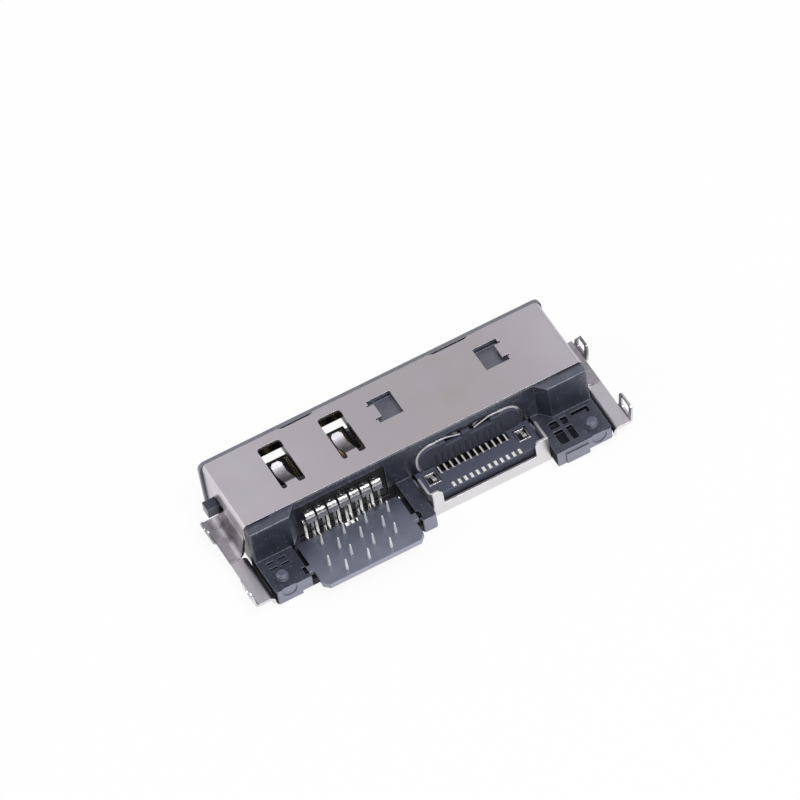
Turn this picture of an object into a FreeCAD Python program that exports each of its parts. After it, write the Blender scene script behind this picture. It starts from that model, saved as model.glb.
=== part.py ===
import FreeCAD, Part
import Sketcher
import os
import re

# Two-port edge socket for a thin computer: a docking port and a USB-C port in one
# moulded housing under one stamped cover. X runs along the row of ports, +Y is the
# mating side, +Z is the side that the board lies on, z = 0 is the underside of the
# bottom shell. The origin is the centre of the footprint. All lengths are millimetres.

DIMENSIONS = (
    # Body and sheet
    ("front_face", "6.335", "mating face of the rim ahead of the origin"),
    ("rim_depth", "0.33", "rim ahead of the cover"),
    ("rim_overhang", "0.2", "rim past each end of the cover"),
    ("rim_round", "0.6", "corner rounding of the rim"),
    ("cover_width", "28.1", "cover over both ends"),
    ("cover_depth", "6.72", "cover from front edge to rear edge"),
    ("body_height", "5.0", "underside of the shell to top of the cover"),
    ("sheet_thick", "0.2", "stamped sheet"),
    ("cover_bend", "0.4", "outside bend of the cover's ends"),
    ("notch_depth", "0.15", "notches in the cover's front edge"),
    ("notch_slope", "0.4", "sloping ends of those notches"),
    ("left_notch_start", "6.3", "left notch from the cover's left end"),
    ("left_notch_end", "9.3", "left notch from the cover's left end"),
    ("right_notch_start", "18.9", "right notch from the cover's left end"),
    ("right_notch_end", "22.2", "right notch from the cover's left end"),
    ("seat_gap", "0.05", "clearance between sheet and moulding"),
    ("press_gap", "0.025", "clearance of pressed pieces"),
    ("board_plane", "1.6", "face that the board lies on"),
    ("port_axis", "2.5", "height of both port centres"),
    # Cover ends, ears and board locks
    ("end_wall_low", "0.9", "lower edge of the end walls"),
    ("end_wall_run", "2.6", "low part of the end wall behind the cover's front edge"),
    ("ear_top", "3.3", "height where the end wall flares out"),
    ("ear_setback", "1.78", "ear behind the cover's front edge"),
    ("ear_length", "4.5", "ear along the flange"),
    ("ear_flare", "0.45", "flare of the wall down to the flange"),
    ("ear_rake", "1.5", "rake of the ear's front edge"),
    ("ear_bend", "0.7", "bend between the flared wall and the flange"),
    ("flange_top", "1.2", "top of the flanges"),
    ("flange_reach", "1.4", "flange past the end of the cover"),
    ("slit_width", "0.06", "slit between ear and rear flange"),
    ("rear_flange_length", "4.48", "rear flange along the side"),
    ("flange_bend", "0.45", "outside bend of the rear flange beside the block"),
    ("rear_flange_foot", "0.5", "height of the foot under the rear flange"),
    ("foot_length", "2.4", "foot of the rear flange along the side"),
    ("foot_depth", "1.1", "foot of the rear flange into the moulding"),
    ("lock_reach", "0.4", "board lock past the flange"),
    ("lock_lean", "0.2", "board lock's top leaning outwards"),
    ("lock_thick", "0.14", "board lock's sheet"),
    ("lock_height", "1.35", "board lock above the flange"),
    ("lock_width", "1.9", "board lock along the flange"),
    ("lock_bend", "0.35", "outside bend of the board lock"),
    ("lock_setback", "0.3", "front board lock behind the ear's front edge"),
    ("eye_width", "1.1", "eye of the board lock"),
    ("eye_height", "0.95", "eye of the board lock"),
    ("eye_bar", "0.2", "bar over the eye of the board lock"),
    ("lock_corner", "0.35", "top corners of the board lock"),
    # Spring leaves over the docking port
    ("dock_offset", "6.48", "docking port left of the middle"),
    ("spring_spread", "2.5", "each spring window from the port centre"),
    ("spring_window_width", "1.9", "window round a spring leaf"),
    ("spring_window_setback", "0.87", "window behind the cover's front edge"),
    ("spring_window_length", "3.9", "open length ahead of the leaf's root"),
    ("window_round", "0.3", "front corners of a spring window"),
    ("leaf_width", "0.9", "spring leaf"),
    ("leaf_shift", "0.1", "leaf left of the window's middle"),
    ("leaf_slot", "0.45", "relief slot past the leaf's root"),
    ("slot_round", "0.18", "ends of the relief slots"),
    ("leaf_drop", "1.25", "lowest point of the leaf below the cover"),
    ("leaf_valley", "1.9", "lowest point ahead of the root"),
    ("leaf_rise", "0.35", "rise of the leaf's tip"),
    ("leaf_length", "2.8", "leaf from root to tip"),
    ("leaf_corner", "0.2", "cut corners of the leaf's tip"),
    ("leaf_curve", "1.0", "bend at the leaf's lowest point"),
    # Latch windows over the USB-C port
    ("usbc_offset", "4.33", "USB-C port right of the middle"),
    ("latch_spread", "4.43", "each latch window from the port centre"),
    ("latch_window_width", "1.95", "latch window"),
    ("latch_window_length", "2.3", "latch window"),
    ("latch_window_setback", "1.37", "latch window behind the cover's front edge"),
    ("latch_tab_width", "0.38", "latch tab across"),
    ("latch_tab_length", "1.3", "latch tab along"),
    ("latch_relief", "0.14", "relief cut beside a latch tab"),
    ("latch_boss_drop", "0.35", "moulded boss below the cover's inside"),
    # Moulded housing
    ("shoulder_depth", "0.9", "rear shoulders behind the cover"),
    ("shoulder_inner", "9.95", "shoulder's inner side from the middle"),
    ("shoulder_splay", "0.8", "shoulder's inner side drawn outwards"),
    ("side_inset", "0.1", "rear blocks inside the cover's ends"),
    ("block_length", "3.27", "rear blocks behind the shoulders"),
    ("rib_width", "1.2", "rib between the two ports"),
    ("edge_round", "0.12", "rounding of moulded edges"),
    ("corner_round", "0.24", "rear corners of the blocks and the rib"),
    ("peg_radius", "0.45", "locating peg"),
    ("peg_height", "0.5", "locating peg"),
    ("peg_spread", "12.85", "each peg from the middle"),
    ("peg_setback", "1.11", "peg ahead of the block's rear face"),
    ("stub_reach", "0.97", "side stub past the cover's end"),
    ("stub_width", "0.9", "side stub"),
    ("stub_height", "0.9", "side stub"),
    ("stub_setback", "1.4", "side stub behind the cover's front edge"),
    ("stub_low", "2.0", "underside of the side stub"),
    ("stub_gap", "0.1", "clearance round the side stub"),
    ("peg_bevel", "0.15", "bevelled top of the pegs"),
    ("core_depth", "0.4", "recesses in the rear blocks"),
    ("core_inset", "0.72", "recesses from the right block's inner side"),
    ("core_setback", "0.38", "recesses behind the shoulder"),
    ("core_web", "0.25", "webs between the recesses"),
    ("core_left", "0.75", "width of the left pair of recesses"),
    ("core_right", "0.52", "width of the right pair of recesses"),
    ("core_front", "0.7", "length of the front pair of recesses"),
    ("core_rear", "1.35", "length of the rear pair of recesses"),
    ("core_round", "0.25", "outer corners of the left recesses"),
    ("hook_gap", "0.38", "hooked slot right of the recesses"),
    ("hook_length", "1.4", "hooked slot along X"),
    ("hook_width", "0.28", "hooked slot across"),
    ("hook_drop", "0.62", "hooked slot's short leg along Y"),
    ("slit_inset", "0.62", "slits from the left block's outer side"),
    ("slit_short", "0.6", "outer slits along X"),
    ("slit_long", "0.7", "inner slits along X"),
    ("slit_gap", "0.3", "outer and inner slits apart"),
    ("slit_open", "0.16", "slits along Y"),
    ("slit_setback", "0.45", "first slits behind the shoulder"),
    ("slit_pitch", "0.6", "rows of slits"),
    ("slit_depth", "0.3", "slits"),
    ("dish_radius", "0.6", "round relief in the rear face below each peg"),
    ("dish_depth", "0.07", "round relief in the rear face below each peg"),
    ("dish_height", "1.3", "middle of that relief"),
    ("panel_inset", "0.7", "raised panel on the right block's rear face"),
    ("panel_width", "1.9", "raised panel on the right block's rear face"),
    ("panel_top", "1.2", "raised panel on the right block's rear face"),
    ("panel_raise", "0.1", "raised panel on the right block's rear face"),
    ("step_height", "0.3", "steps under the blocks' rear faces"),
    ("step_depth", "0.9", "steps under the blocks' rear faces"),
    ("left_step", "0.85", "step under the left block's inner end"),
    # Docking port
    ("mouth_width", "8.8", "mouth of the docking port"),
    ("mouth_height", "2.9", "mouth of the docking port"),
    ("mouth_depth", "5.4", "mouth of the docking port"),
    ("dock_base_width", "7.8", "base of the docking insulator"),
    ("dock_base_height", "3.3", "base of the docking insulator"),
    ("dock_base_recess", "0.1", "rear face of that base ahead of the cover's rear edge"),
    ("dock_tongue_width", "7.0", "tongue of the docking port"),
    ("dock_tongue_thick", "0.8", "tongue of the docking port"),
    ("dock_tongue_length", "4.4", "tongue of the docking port"),
    ("tongue_round", "0.2", "rounding of that tongue's tip"),
    ("dock_pitch", "0.914", "spacing of the docking contacts in a row"),
    ("row_stagger", "0.2285", "upper and lower contacts aside from each other's middle"),
    ("dock_contact_thick", "0.15", "strip of a docking contact"),
    ("dock_contact_width", "0.2", "strip of a docking contact"),
    ("contact_setback", "0.4", "contacts behind the tip of their tongue"),
    ("contact_root", "0.45", "docking contacts' step behind the mouth's floor"),
    ("head_width", "0.72", "shoulder of an upper docking contact"),
    ("head_top", "3.55", "top of that shoulder"),
    ("head_drop", "0.8", "shoulder down its vertical leg"),
    ("head_reach", "0.66", "shoulder behind the cover's rear edge"),
    ("head_bend", "0.4", "outside bend of that shoulder"),
    ("head_hole", "0.16", "hole in that shoulder"),
    ("hole_setback", "0.24", "hole behind the cover's rear edge"),
    ("contact_bend", "0.3", "outside bends of the contacts' runs"),
    ("lower_exit", "2.6", "height where the lower contacts leave the base"),
    ("lower_reach", "0.25", "lower contacts' leg behind the cover's rear edge"),
    ("run_top", "1.0", "top of the contacts' run under the tail plate"),
    ("tail_height", "1.15", "tails above the tail plate"),
    ("tail_tip", "0.08", "width of a tail's tip"),
    ("row_jog", "0.2", "upper contacts' strips on the tongue aside from their tails"),
    # Tail plate
    ("plate_width", "8.9", "tail plate"),
    ("plate_length", "4.55", "tail plate"),
    ("plate_thick", "0.45", "tail plate"),
    ("plate_setback", "1.07", "tail plate behind the cover's rear edge"),
    ("plate_gap", "0.1", "slit beside the tail plate"),
    ("plate_chamfer", "0.45", "rear corners of the tail plate"),
    ("plate_round", "0.3", "front corners of the tail plate"),
    ("plate_notch_width", "1.2", "notch in the plate's front edge"),
    ("plate_notch_depth", "0.45", "notch in the plate's front edge"),
    ("plate_ear_length", "0.6", "ears that hold the tail plate"),
    ("plate_ear_reach", "0.35", "ears that hold the tail plate"),
    ("plate_ear_setback", "2.1", "ears behind the plate's front edge"),
    ("row_setback", "0.9", "first row of tails behind the plate's front edge"),
    ("row_pitch", "1.033", "rows of tails"),
    ("hole_gap", "0.025", "clearance round each tail"),
    # USB-C port
    ("usbc_shell_width", "8.8", "shell outside"),
    ("usbc_shell_height", "3.0", "shell outside"),
    ("usbc_shell_wall", "0.22", "shell wall"),
    ("usbc_shell_round", "1.3", "shell's outside corner"),
    ("finger_length", "2.1", "bent fingers in the shell's top wall"),
    ("finger_depth", "0.35", "bent fingers along the port"),
    ("finger_thick", "0.15", "bent fingers"),
    ("finger_knee", "0.85", "bent fingers' bend from their root"),
    ("finger_dip", "0.42", "bent fingers' free ends below the wall"),
    ("finger_pocket", "0.05", "pockets in the base below the fingers' free ends"),
    ("pocket_length", "1.35", "pockets along the fingers"),
    ("pocket_reach", "0.4", "right pocket past its finger's free end"),
    ("finger_spread", "0.55", "free ends from the port centre"),
    ("usbc_mouth_depth", "6.2", "mouth of the USB-C port"),
    ("usbc_tongue_width", "6.69", "tongue"),
    ("usbc_tongue_thick", "0.7", "tongue"),
    ("usbc_tongue_length", "5.2", "tongue"),
    ("usbc_root_length", "1.1", "thick root of the tongue"),
    ("usbc_root_width", "7.0", "thick root of the tongue"),
    ("usbc_root_height", "1.2", "thick root of the tongue"),
    ("usbc_pitch", "0.5", "spacing of the USB-C contacts"),
    ("usbc_contact_thick", "0.12", "strip of a USB-C contact"),
    ("usbc_contact_width", "0.22", "strip of a USB-C contact"),
    ("usbc_upper_leg", "0.48", "upper contacts' leg ahead of the base's rear face"),
    ("usbc_lower_leg", "0.96", "lower contacts' leg ahead of the base's rear face"),
    ("usbc_row_shift", "0.125", "each tail row aside from the port centre"),
    ("usbc_base_reach", "0.2", "base behind the shell's rear edge"),
    ("groove_width", "0.28", "grooves above the front tails"),
    ("groove_height", "1.3", "grooves above the front tails"),
    ("groove_depth", "0.07", "grooves above the front tails"),
    ("tail_deck_length", "2.55", "tail deck behind the base"),
    ("tail_deck_low", "0.35", "underside of the tail deck"),
    ("deck_round", "0.2", "rounding of the deck's rear edge"),
    ("rear_tail_setback", "0.15", "rear tails' ends ahead of the deck's rear edge"),
    ("trough_length", "0.7", "trough under the front tails"),
    ("trough_depth", "0.3", "trough under the front tails"),
    ("trough_width", "5.9", "trough under the front tails"),
    ("front_tail_length", "0.8", "solder tails at the base"),
    ("rear_tail_length", "0.45", "solder tails at the deck's rear edge"),
    ("usbc_run_top", "1.4", "rear contacts' run inside the deck"),
    ("midplate_thick", "0.15", "stiffening plate in the tongue"),
    ("midplate_width", "6.3", "stiffening plate in the tongue"),
    ("midplate_setback", "0.12", "plate behind the tongue's tip"),
    ("midplate_gap", "0.24", "plate's back edge ahead of the upper contacts' leg"),
    ("midplate_foot_spread", "3.75", "plate's solder feet from the port centre"),
    ("midplate_foot_width", "0.5", "plate's solder feet"),
    ("frame_width", "1.0", "frame round each solder foot"),
    ("frame_length", "1.15", "frame round each solder foot"),
    ("frame_bar", "0.13", "bars of that frame"),
    ("frame_setback", "0.85", "frame's middle behind the base's rear face"),
    ("frame_tab_width", "0.3", "bent tab inside the frame"),
    ("frame_tab_length", "0.76", "bent tab inside the frame"),
    ("frame_tab_dip", "0.2", "bent tab's end below the frame"),
    ("sleeve_thick", "0.12", "sleeve round the tongue's root"),
    # Cage of the bottom shell round the USB-C tail deck
    ("cage_width", "9.9", "cage outside"),
    ("cage_length", "3.1", "cage behind the cover's rear edge"),
    ("cage_wall_top", "2.5", "side walls and lobes of the cage"),
    ("cage_lip_top", "1.0", "rear lip of the cage"),
    ("cage_front_top", "1.2", "low front part of the cage's side walls"),
    ("cage_front_length", "1.2", "low front part of the cage's side walls"),
    ("lobe_width", "1.1", "lobes at the rear corners"),
    ("lobe_round", "0.4", "rounding of the lobes"),
    ("strip_width", "2.2", "strip of the shell under the right block"),
    ("strip_length", "3.9", "strip of the shell under the right block"),
)

# Places that follow from the dimensions, each written once as a formula.
PLACES = {
    "half_width": "cover_width / 2",
    "cover_front": "front_face - rim_depth",
    "cover_rear": "cover_front - cover_depth",
    "cover_inside": "body_height - sheet_thick",
    "case_half": "half_width - sheet_thick - seat_gap",
    "block_side": "half_width - side_inset",
    "shoulder_rear": "cover_rear - shoulder_depth",
    "block_rear": "shoulder_rear - block_length",
    "ear_front": "cover_front - ear_setback",
    "ear_rear": "ear_front - ear_length",
    "flange_edge": "half_width + flange_reach",
    "rear_flange_front": "ear_rear - slit_width",
    "rear_flange_rear": "rear_flange_front - rear_flange_length",
    "peg_y": "block_rear + peg_setback",
    "window_front": "cover_front - spring_window_setback",
    "leaf_root": "window_front - spring_window_length",
    "latch_front": "cover_front - latch_window_setback",
    "latch_rear": "latch_front - latch_window_length",
    "latch_middle": "latch_front - latch_window_length / 2",
    "stub_front": "cover_front - stub_setback",
    "dock_x": "-dock_offset",
    "dock_floor": "front_face - mouth_depth",
    "dock_base_rear": "cover_rear + dock_base_recess",
    "dock_tip": "dock_floor + dock_tongue_length",
    "dock_top": "port_axis + dock_tongue_thick / 2",
    "dock_low": "port_axis - dock_tongue_thick / 2",
    "drop_y": "cover_rear - head_reach",
    "plate_half": "plate_width / 2",
    "plate_front": "cover_rear - plate_setback",
    "plate_rear": "plate_front - plate_length",
    "plate_low": "board_plane - plate_thick",
    "plate_ear_front": "plate_front - plate_ear_setback",
    "left_block_inner": "dock_x - plate_half - plate_gap",
    "cage_half": "cage_width / 2",
    "rib_right": "usbc_offset - cage_half - seat_gap",
    "rib_left": "rib_right - rib_width",
    "right_block_inner": "usbc_offset + cage_half + seat_gap",
    "shell_half": "usbc_shell_width / 2",
    "shell_rise": "usbc_shell_height / 2",
    "bore_half": "shell_half - usbc_shell_wall",
    "bore_rise": "shell_rise - usbc_shell_wall",
    "usbc_floor": "front_face - usbc_mouth_depth",
    "usbc_base_rear": "cover_rear - usbc_base_reach",
    "deck_rear": "usbc_base_rear - tail_deck_length",
    "deck_half": "cage_half - sheet_thick - seat_gap",
    "usbc_tip": "usbc_floor + usbc_tongue_length",
    "usbc_top": "port_axis + usbc_tongue_thick / 2",
    "usbc_low": "port_axis - usbc_tongue_thick / 2",
    "cage_rear": "cover_rear - cage_length",
    "frame_y": "usbc_base_rear - frame_setback",
    "frame_front": "frame_y + frame_length / 2",
    "frame_rear": "frame_y - frame_length / 2",
}

# Contacts in each row.
DOCK_ROW = 7
USBC_ROW = 12

PLANE_ROLE = {"x": "YZ_Plane", "y": "XZ_Plane", "z": "XY_Plane"}

doc = FreeCAD.newDocument("edge_socket")
sheet = doc.addObject("Spreadsheet::Sheet", "sheet")


def fill_sheet():
    for row, (alias, size, meaning) in enumerate(DIMENSIONS, start=1):
        sheet.set("A%d" % row, size)
        sheet.setAlias("A%d" % row, alias)
        sheet.set("B%d" % row, meaning)
    doc.recompute()


def bound(text):
    """Spell a formula of plain names as one that reads the sheet."""
    def spelled(match):
        word = match.group(0)
        if word in PLACES:
            return "(" + bound(PLACES[word]) + ")"
        return "sheet." + word
    return re.sub(r"[a-z][a-z_]+", spelled, text)


def size_of(text):
    """Work out a formula of plain names."""
    return sheet.evalExpression(bound(text))


def new_body(name):
    body = doc.addObject("PartDesign::Body", name)
    body.Label = name
    return body


def new_sketch(body, across, height):
    """Put a sketch square to an axis, at a height along it."""
    sketch = body.newObject("Sketcher::SketchObject", body.Name + "_sketch")
    for feature in body.Origin.OriginFeatures:
        if feature.Role == PLANE_ROLE[across]:
            sketch.AttachmentSupport = [(feature, "")]
    sketch.MapMode = "FlatFace"
    # The sketch's own axis points along -Y on the plane square to Y.
    turned = "-(%s)" % bound(height) if across == "y" else bound(height)
    sketch.setExpression("AttachmentOffset.Base.z", turned)
    return sketch


def add_outline(sketch, corners):
    """Draw one closed outline whose corners are formulas."""
    first = sketch.GeometryCount
    spots = [FreeCAD.Vector(size_of(u), size_of(v), 0) for u, v in corners]
    count = len(spots)
    lines = [Part.LineSegment(spots[index], spots[(index + 1) % count]) for index in range(count)]
    sketch.addGeometry(lines, False)
    joins = []
    for index in range(count):
        following = first + (index + 1) % count
        joins.append(Sketcher.Constraint("Coincident", first + index, 2, following, 1))
    sketch.addConstraint(joins)
    rules = []
    for index, spot in enumerate(spots):
        rules.append(Sketcher.Constraint("DistanceX", -1, 1, first + index, 1, spot.x))
        rules.append(Sketcher.Constraint("DistanceY", -1, 1, first + index, 1, spot.y))
    places = sketch.addConstraint(rules)
    texts = [text for corner in corners for text in corner]
    for place, text in zip(places, texts):
        sketch.setExpression("Constraints[%d]" % place, bound(text))


def add_circle(sketch, u, v, radius):
    middle = FreeCAD.Vector(size_of(u), size_of(v), 0)
    ring = sketch.addGeometry(Part.Circle(middle, FreeCAD.Vector(0, 0, 1), size_of(radius)), False)
    rules = (
        (Sketcher.Constraint("DistanceX", -1, 1, ring, 3, middle.x), u),
        (Sketcher.Constraint("DistanceY", -1, 1, ring, 3, middle.y), v),
        (Sketcher.Constraint("Radius", ring, size_of(radius)), radius),
    )
    for rule, text in rules:
        place = sketch.addConstraint(rule)
        sketch.setExpression("Constraints[%d]" % place, bound(text))


def rectangle(u_low, u_high, v_low, v_high):
    return ((u_low, v_low), (u_high, v_low), (u_high, v_high), (u_low, v_high))


def shaped(body, kind, sketch, length, symmetric=False):
    """Pad or pocket a sketch along its axis, by a length that may be negative."""
    feature = body.newObject("PartDesign::" + kind, body.Name + "_" + kind.lower())
    feature.Profile = sketch
    backwards = size_of(length) < 0
    feature.setExpression("Length", bound("-(%s)" % length if backwards else length))
    if symmetric:
        feature.SideType = "Symmetric"
    # A pocket cuts against its sketch's axis unless it is reversed.
    feature.Reversed = backwards if kind == "Pad" else not backwards
    sketch.Visibility = False
    doc.recompute()
    return feature


def formed(body, kind, across, low, high, outlines):
    """Add or cut prisms between two heights along an axis."""
    sketch = new_sketch(body, across, low)
    for corners in outlines:
        add_outline(sketch, corners)
    length = "(%s) - (%s)" % (high, low)
    if across == "y":
        length = "(%s) - (%s)" % (low, high)
    return shaped(body, kind, sketch, length)


def add(body, across, low, high, *outlines):
    return formed(body, "Pad", across, low, high, outlines)


def cut(body, across, low, high, *outlines):
    return formed(body, "Pocket", across, low, high, outlines)


def near(one, other):
    return abs(one - other) < 1e-4


def edges_along(shape, axis, **places):
    """Name the straight edges along an axis that pass through given places."""
    names = []
    for number, edge in enumerate(shape.Edges, start=1):
        if edge.Curve.TypeId != "Part::GeomLine":
            continue
        start = edge.Vertexes[0].Point
        end = edge.Vertexes[-1].Point
        run = end - start
        if not near(abs(getattr(run, axis)), run.Length):
            continue
        if all(near(getattr(start, side), size_of(text)) for side, text in places.items()):
            names.append("Edge%d" % number)
    return names


def rounded(body, radius, *choices):
    """Round the edges that each choice of axis and places names."""
    base = body.Tip
    names = []
    for axis, places in choices:
        names += edges_along(base.Shape, axis, **places)
    if not names:
        raise RuntimeError("no edge to round on " + body.Name)
    fillet = body.newObject("PartDesign::Fillet", body.Name + "_fillet")
    fillet.Base = (base, names)
    fillet.setExpression("Radius", bound(radius))
    doc.recompute()
    return fillet


def lock_outline(side):
    """Flange edge that turns up into a board lock, seen along Y."""
    edge = "%s * (flange_edge - sheet_thick)" % side
    outside = "%s * (flange_edge + lock_reach - lock_lean)" % side
    inside = "%s * (flange_edge + lock_reach - lock_lean - lock_thick)" % side
    top_outside = "%s * (flange_edge + lock_reach)" % side
    top_inside = "%s * (flange_edge + lock_reach - lock_thick)" % side
    under = "flange_top - sheet_thick"
    top = "flange_top + lock_height"
    return ((edge, under), (outside, under), (top_outside, top),
            (top_inside, top), (inside, "flange_top"), (edge, "flange_top"))


def add_board_lock(body, side, rear):
    """Turn a lock up from a flange, punch its eye and round its corners."""
    front = "%s + lock_width" % rear
    middle = "%s + lock_width / 2" % rear
    outside = "%s * (flange_edge + lock_reach - lock_lean)" % side
    inside = "%s * (flange_edge + lock_reach - lock_lean - lock_thick)" % side
    far = "%s * (flange_edge + lock_reach)" % side
    top = "flange_top + lock_height"
    under = "flange_top - sheet_thick"
    add(body, "y", rear, front, lock_outline(side))
    rounded(body, "lock_bend", ("y", {"x": outside, "z": under}))
    rounded(body, "lock_bend - sheet_thick", ("y", {"x": inside, "z": "flange_top"}))
    eye = rectangle(middle + " - eye_width / 2", middle + " + eye_width / 2",
                    top + " - eye_bar - eye_height", top + " - eye_bar")
    near_side, far_side = (inside, far) if side == "1" else (far, inside)
    cut(body, "x", near_side, far_side, eye)
    rounded(body, "eye_bar",
            ("x", {"y": middle + " - eye_width / 2"}),
            ("x", {"y": middle + " + eye_width / 2"}))
    rounded(body, "lock_corner", ("x", {"y": rear, "z": top}), ("x", {"y": front, "z": top}))


def add_ear(body, side):
    """Flare the end wall out to a flange with one board lock."""
    wall = "%s * half_width" % side
    inner_wall = "%s * (half_width - sheet_thick)" % side
    knee = "%s * (half_width + ear_flare)" % side
    inner_knee = "%s * (half_width + ear_flare - sheet_thick)" % side
    edge = "%s * flange_edge" % side
    under = "flange_top - sheet_thick"
    add(body, "y", "ear_rear", "ear_front",
        ((wall, "ear_top"), (knee, "flange_top"), (edge, "flange_top"),
         (edge, under), (inner_knee, under), (inner_wall, "ear_top")))
    rounded(body, "ear_bend", ("y", {"x": knee, "z": "flange_top"}))
    rounded(body, "ear_bend + sheet_thick", ("y", {"x": inner_knee, "z": under}))
    add_board_lock(body, side, "ear_front - lock_setback - lock_width")


def rake_ears(body):
    """Rake the front edges of both ears back towards the wall."""
    reach = "flange_edge + lock_reach"
    cut(body, "x", "-(%s)" % reach, reach,
        (("ear_front", "flange_top"), ("ear_front", "ear_top"), ("ear_front - ear_rake", "ear_top")))


def cover_channel():
    """Folded channel: the top and both end walls."""
    body = new_body("top_cover")
    inner = "half_width - sheet_thick"
    add(body, "y", "cover_rear", "cover_front",
        (("-half_width", "end_wall_low"), ("-half_width", "body_height"),
         ("half_width", "body_height"), ("half_width", "end_wall_low"),
         (inner, "end_wall_low"), (inner, "cover_inside"),
         ("-(%s)" % inner, "cover_inside"), ("-(%s)" % inner, "end_wall_low")))
    rounded(body, "cover_bend",
            ("y", {"x": "half_width", "z": "body_height"}),
            ("y", {"x": "-half_width", "z": "body_height"}))
    rounded(body, "cover_bend - sheet_thick",
            ("y", {"x": inner, "z": "cover_inside"}),
            ("y", {"x": "-(%s)" % inner, "z": "cover_inside"}))
    cut(body, "x", "-half_width", "half_width",
        rectangle("cover_rear", "cover_front - end_wall_run", "end_wall_low", "ear_top"))
    notches = []
    for side in ("left", "right"):
        start = "%s_notch_start - half_width" % side
        end = "%s_notch_end - half_width" % side
        notches.append(((start, "cover_front"), (start + " + notch_slope", "cover_front - notch_depth"),
                        (end + " - notch_slope", "cover_front - notch_depth"), (end, "cover_front")))
    cut(body, "z", "cover_inside", "body_height", *notches)
    return body


def cut_stub_window(body):
    """Window in the left end wall for the housing's stub."""
    cut(body, "x", "-half_width", "-half_width + sheet_thick",
        rectangle("stub_front - stub_width - stub_gap", "stub_front + stub_gap",
                  "stub_low - stub_gap", "stub_low + stub_height + stub_gap"))


def add_spring(body, window_x):
    """Window with a leaf that bends down into the port and up to its tip."""
    left = "%s - spring_window_width / 2" % window_x
    right = "%s + spring_window_width / 2" % window_x
    leaf_x = "%s - leaf_shift" % window_x
    leaf_left = "%s - leaf_width / 2" % leaf_x
    leaf_right = "%s + leaf_width / 2" % leaf_x
    slot_end = "leaf_root - leaf_slot"
    cut(body, "z", "cover_inside", "body_height",
        ((left, "window_front"), (left, slot_end), (leaf_left, slot_end),
         (leaf_left, "leaf_root"), (leaf_right, "leaf_root"), (leaf_right, slot_end),
         (right, slot_end), (right, "window_front")))
    rounded(body, "slot_round",
            ("z", {"x": left, "y": slot_end}), ("z", {"x": leaf_left, "y": slot_end}),
            ("z", {"x": leaf_right, "y": slot_end}), ("z", {"x": right, "y": slot_end}))
    rounded(body, "window_round",
            ("z", {"x": left, "y": "window_front"}), ("z", {"x": right, "y": "window_front"}))
    valley = "body_height - leaf_drop"
    tip = "body_height - leaf_drop + leaf_rise"
    valley_y = "leaf_root + leaf_valley"
    tip_y = "leaf_root + leaf_length"
    add(body, "x", leaf_left, leaf_right,
        (("leaf_root", "body_height"), (valley_y, valley), (tip_y, tip),
         (tip_y, tip + " - sheet_thick"), (valley_y, valley + " - sheet_thick"),
         ("leaf_root", "cover_inside")))
    rounded(body, "leaf_curve",
            ("x", {"y": valley_y, "z": valley}),
            ("x", {"y": valley_y, "z": valley + " - sheet_thick"}))
    shoulder_y = tip_y + " - leaf_corner"
    cut(body, "z", valley + " - sheet_thick", tip,
        ((leaf_left, tip_y), (leaf_left + " + leaf_corner", tip_y), (leaf_left, shoulder_y)),
        ((leaf_right, tip_y), (leaf_right + " - leaf_corner", tip_y), (leaf_right, shoulder_y)))


def add_latch(body, side):
    """Latch window with its small tab on the side away from the port."""
    middle = "usbc_offset + %s * latch_spread" % side
    far = "%s + %s * latch_window_width / 2" % (middle, side)
    close = "%s - %s * latch_window_width / 2" % (middle, side)
    tab = "%s - %s * latch_tab_width" % (far, side)
    relief = "%s + %s * latch_relief" % (far, side)
    tab_front = "latch_middle + latch_tab_length / 2"
    tab_rear = "latch_middle - latch_tab_length / 2"
    notch_front = tab_front + " + latch_relief"
    notch_rear = tab_rear + " - latch_relief"
    cut(body, "z", "cover_inside", "body_height",
        ((close, "latch_front"), (far, "latch_front"), (far, notch_front), (relief, notch_front),
         (relief, tab_front), (tab, tab_front), (tab, tab_rear), (relief, tab_rear),
         (relief, notch_rear), (far, notch_rear), (far, "latch_rear"), (close, "latch_rear")))


def make_top_cover():
    body = cover_channel()
    for side in ("-1", "1"):
        add_ear(body, side)
    rake_ears(body)
    cut_stub_window(body)
    for side in ("-", "+"):
        add_spring(body, "dock_x %s spring_spread" % side)
    for side in ("-1", "1"):
        add_latch(body, side)
    return body


def make_board_lock(name, side):
    """Rear flange: it turns down beside the block and its foot enters a slot there."""
    body = new_body(name)
    wall = "%s * half_width" % side
    outer_wall = "%s * (half_width + sheet_thick)" % side
    edge = "%s * flange_edge" % side
    toe = "%s * (half_width - foot_depth)" % side
    under = "flange_top - sheet_thick"
    foot_top = "rear_flange_foot + sheet_thick"
    add(body, "y", "rear_flange_rear", "rear_flange_front",
        ((edge, "flange_top"), (edge, under), (outer_wall, under),
         (outer_wall, "rear_flange_foot"), (wall, "rear_flange_foot"), (wall, "flange_top")))
    middle = "(rear_flange_rear + rear_flange_front) / 2"
    add(body, "y", middle + " - foot_length / 2", middle + " + foot_length / 2",
        ((outer_wall, "rear_flange_foot"), (toe, "rear_flange_foot"),
         (toe, foot_top), (outer_wall, foot_top)))
    rounded(body, "flange_bend", ("y", {"x": wall, "z": "flange_top"}))
    rounded(body, "flange_bend - sheet_thick", ("y", {"x": outer_wall, "z": under}))
    add_board_lock(body, side, "rear_flange_rear")
    return body


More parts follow.
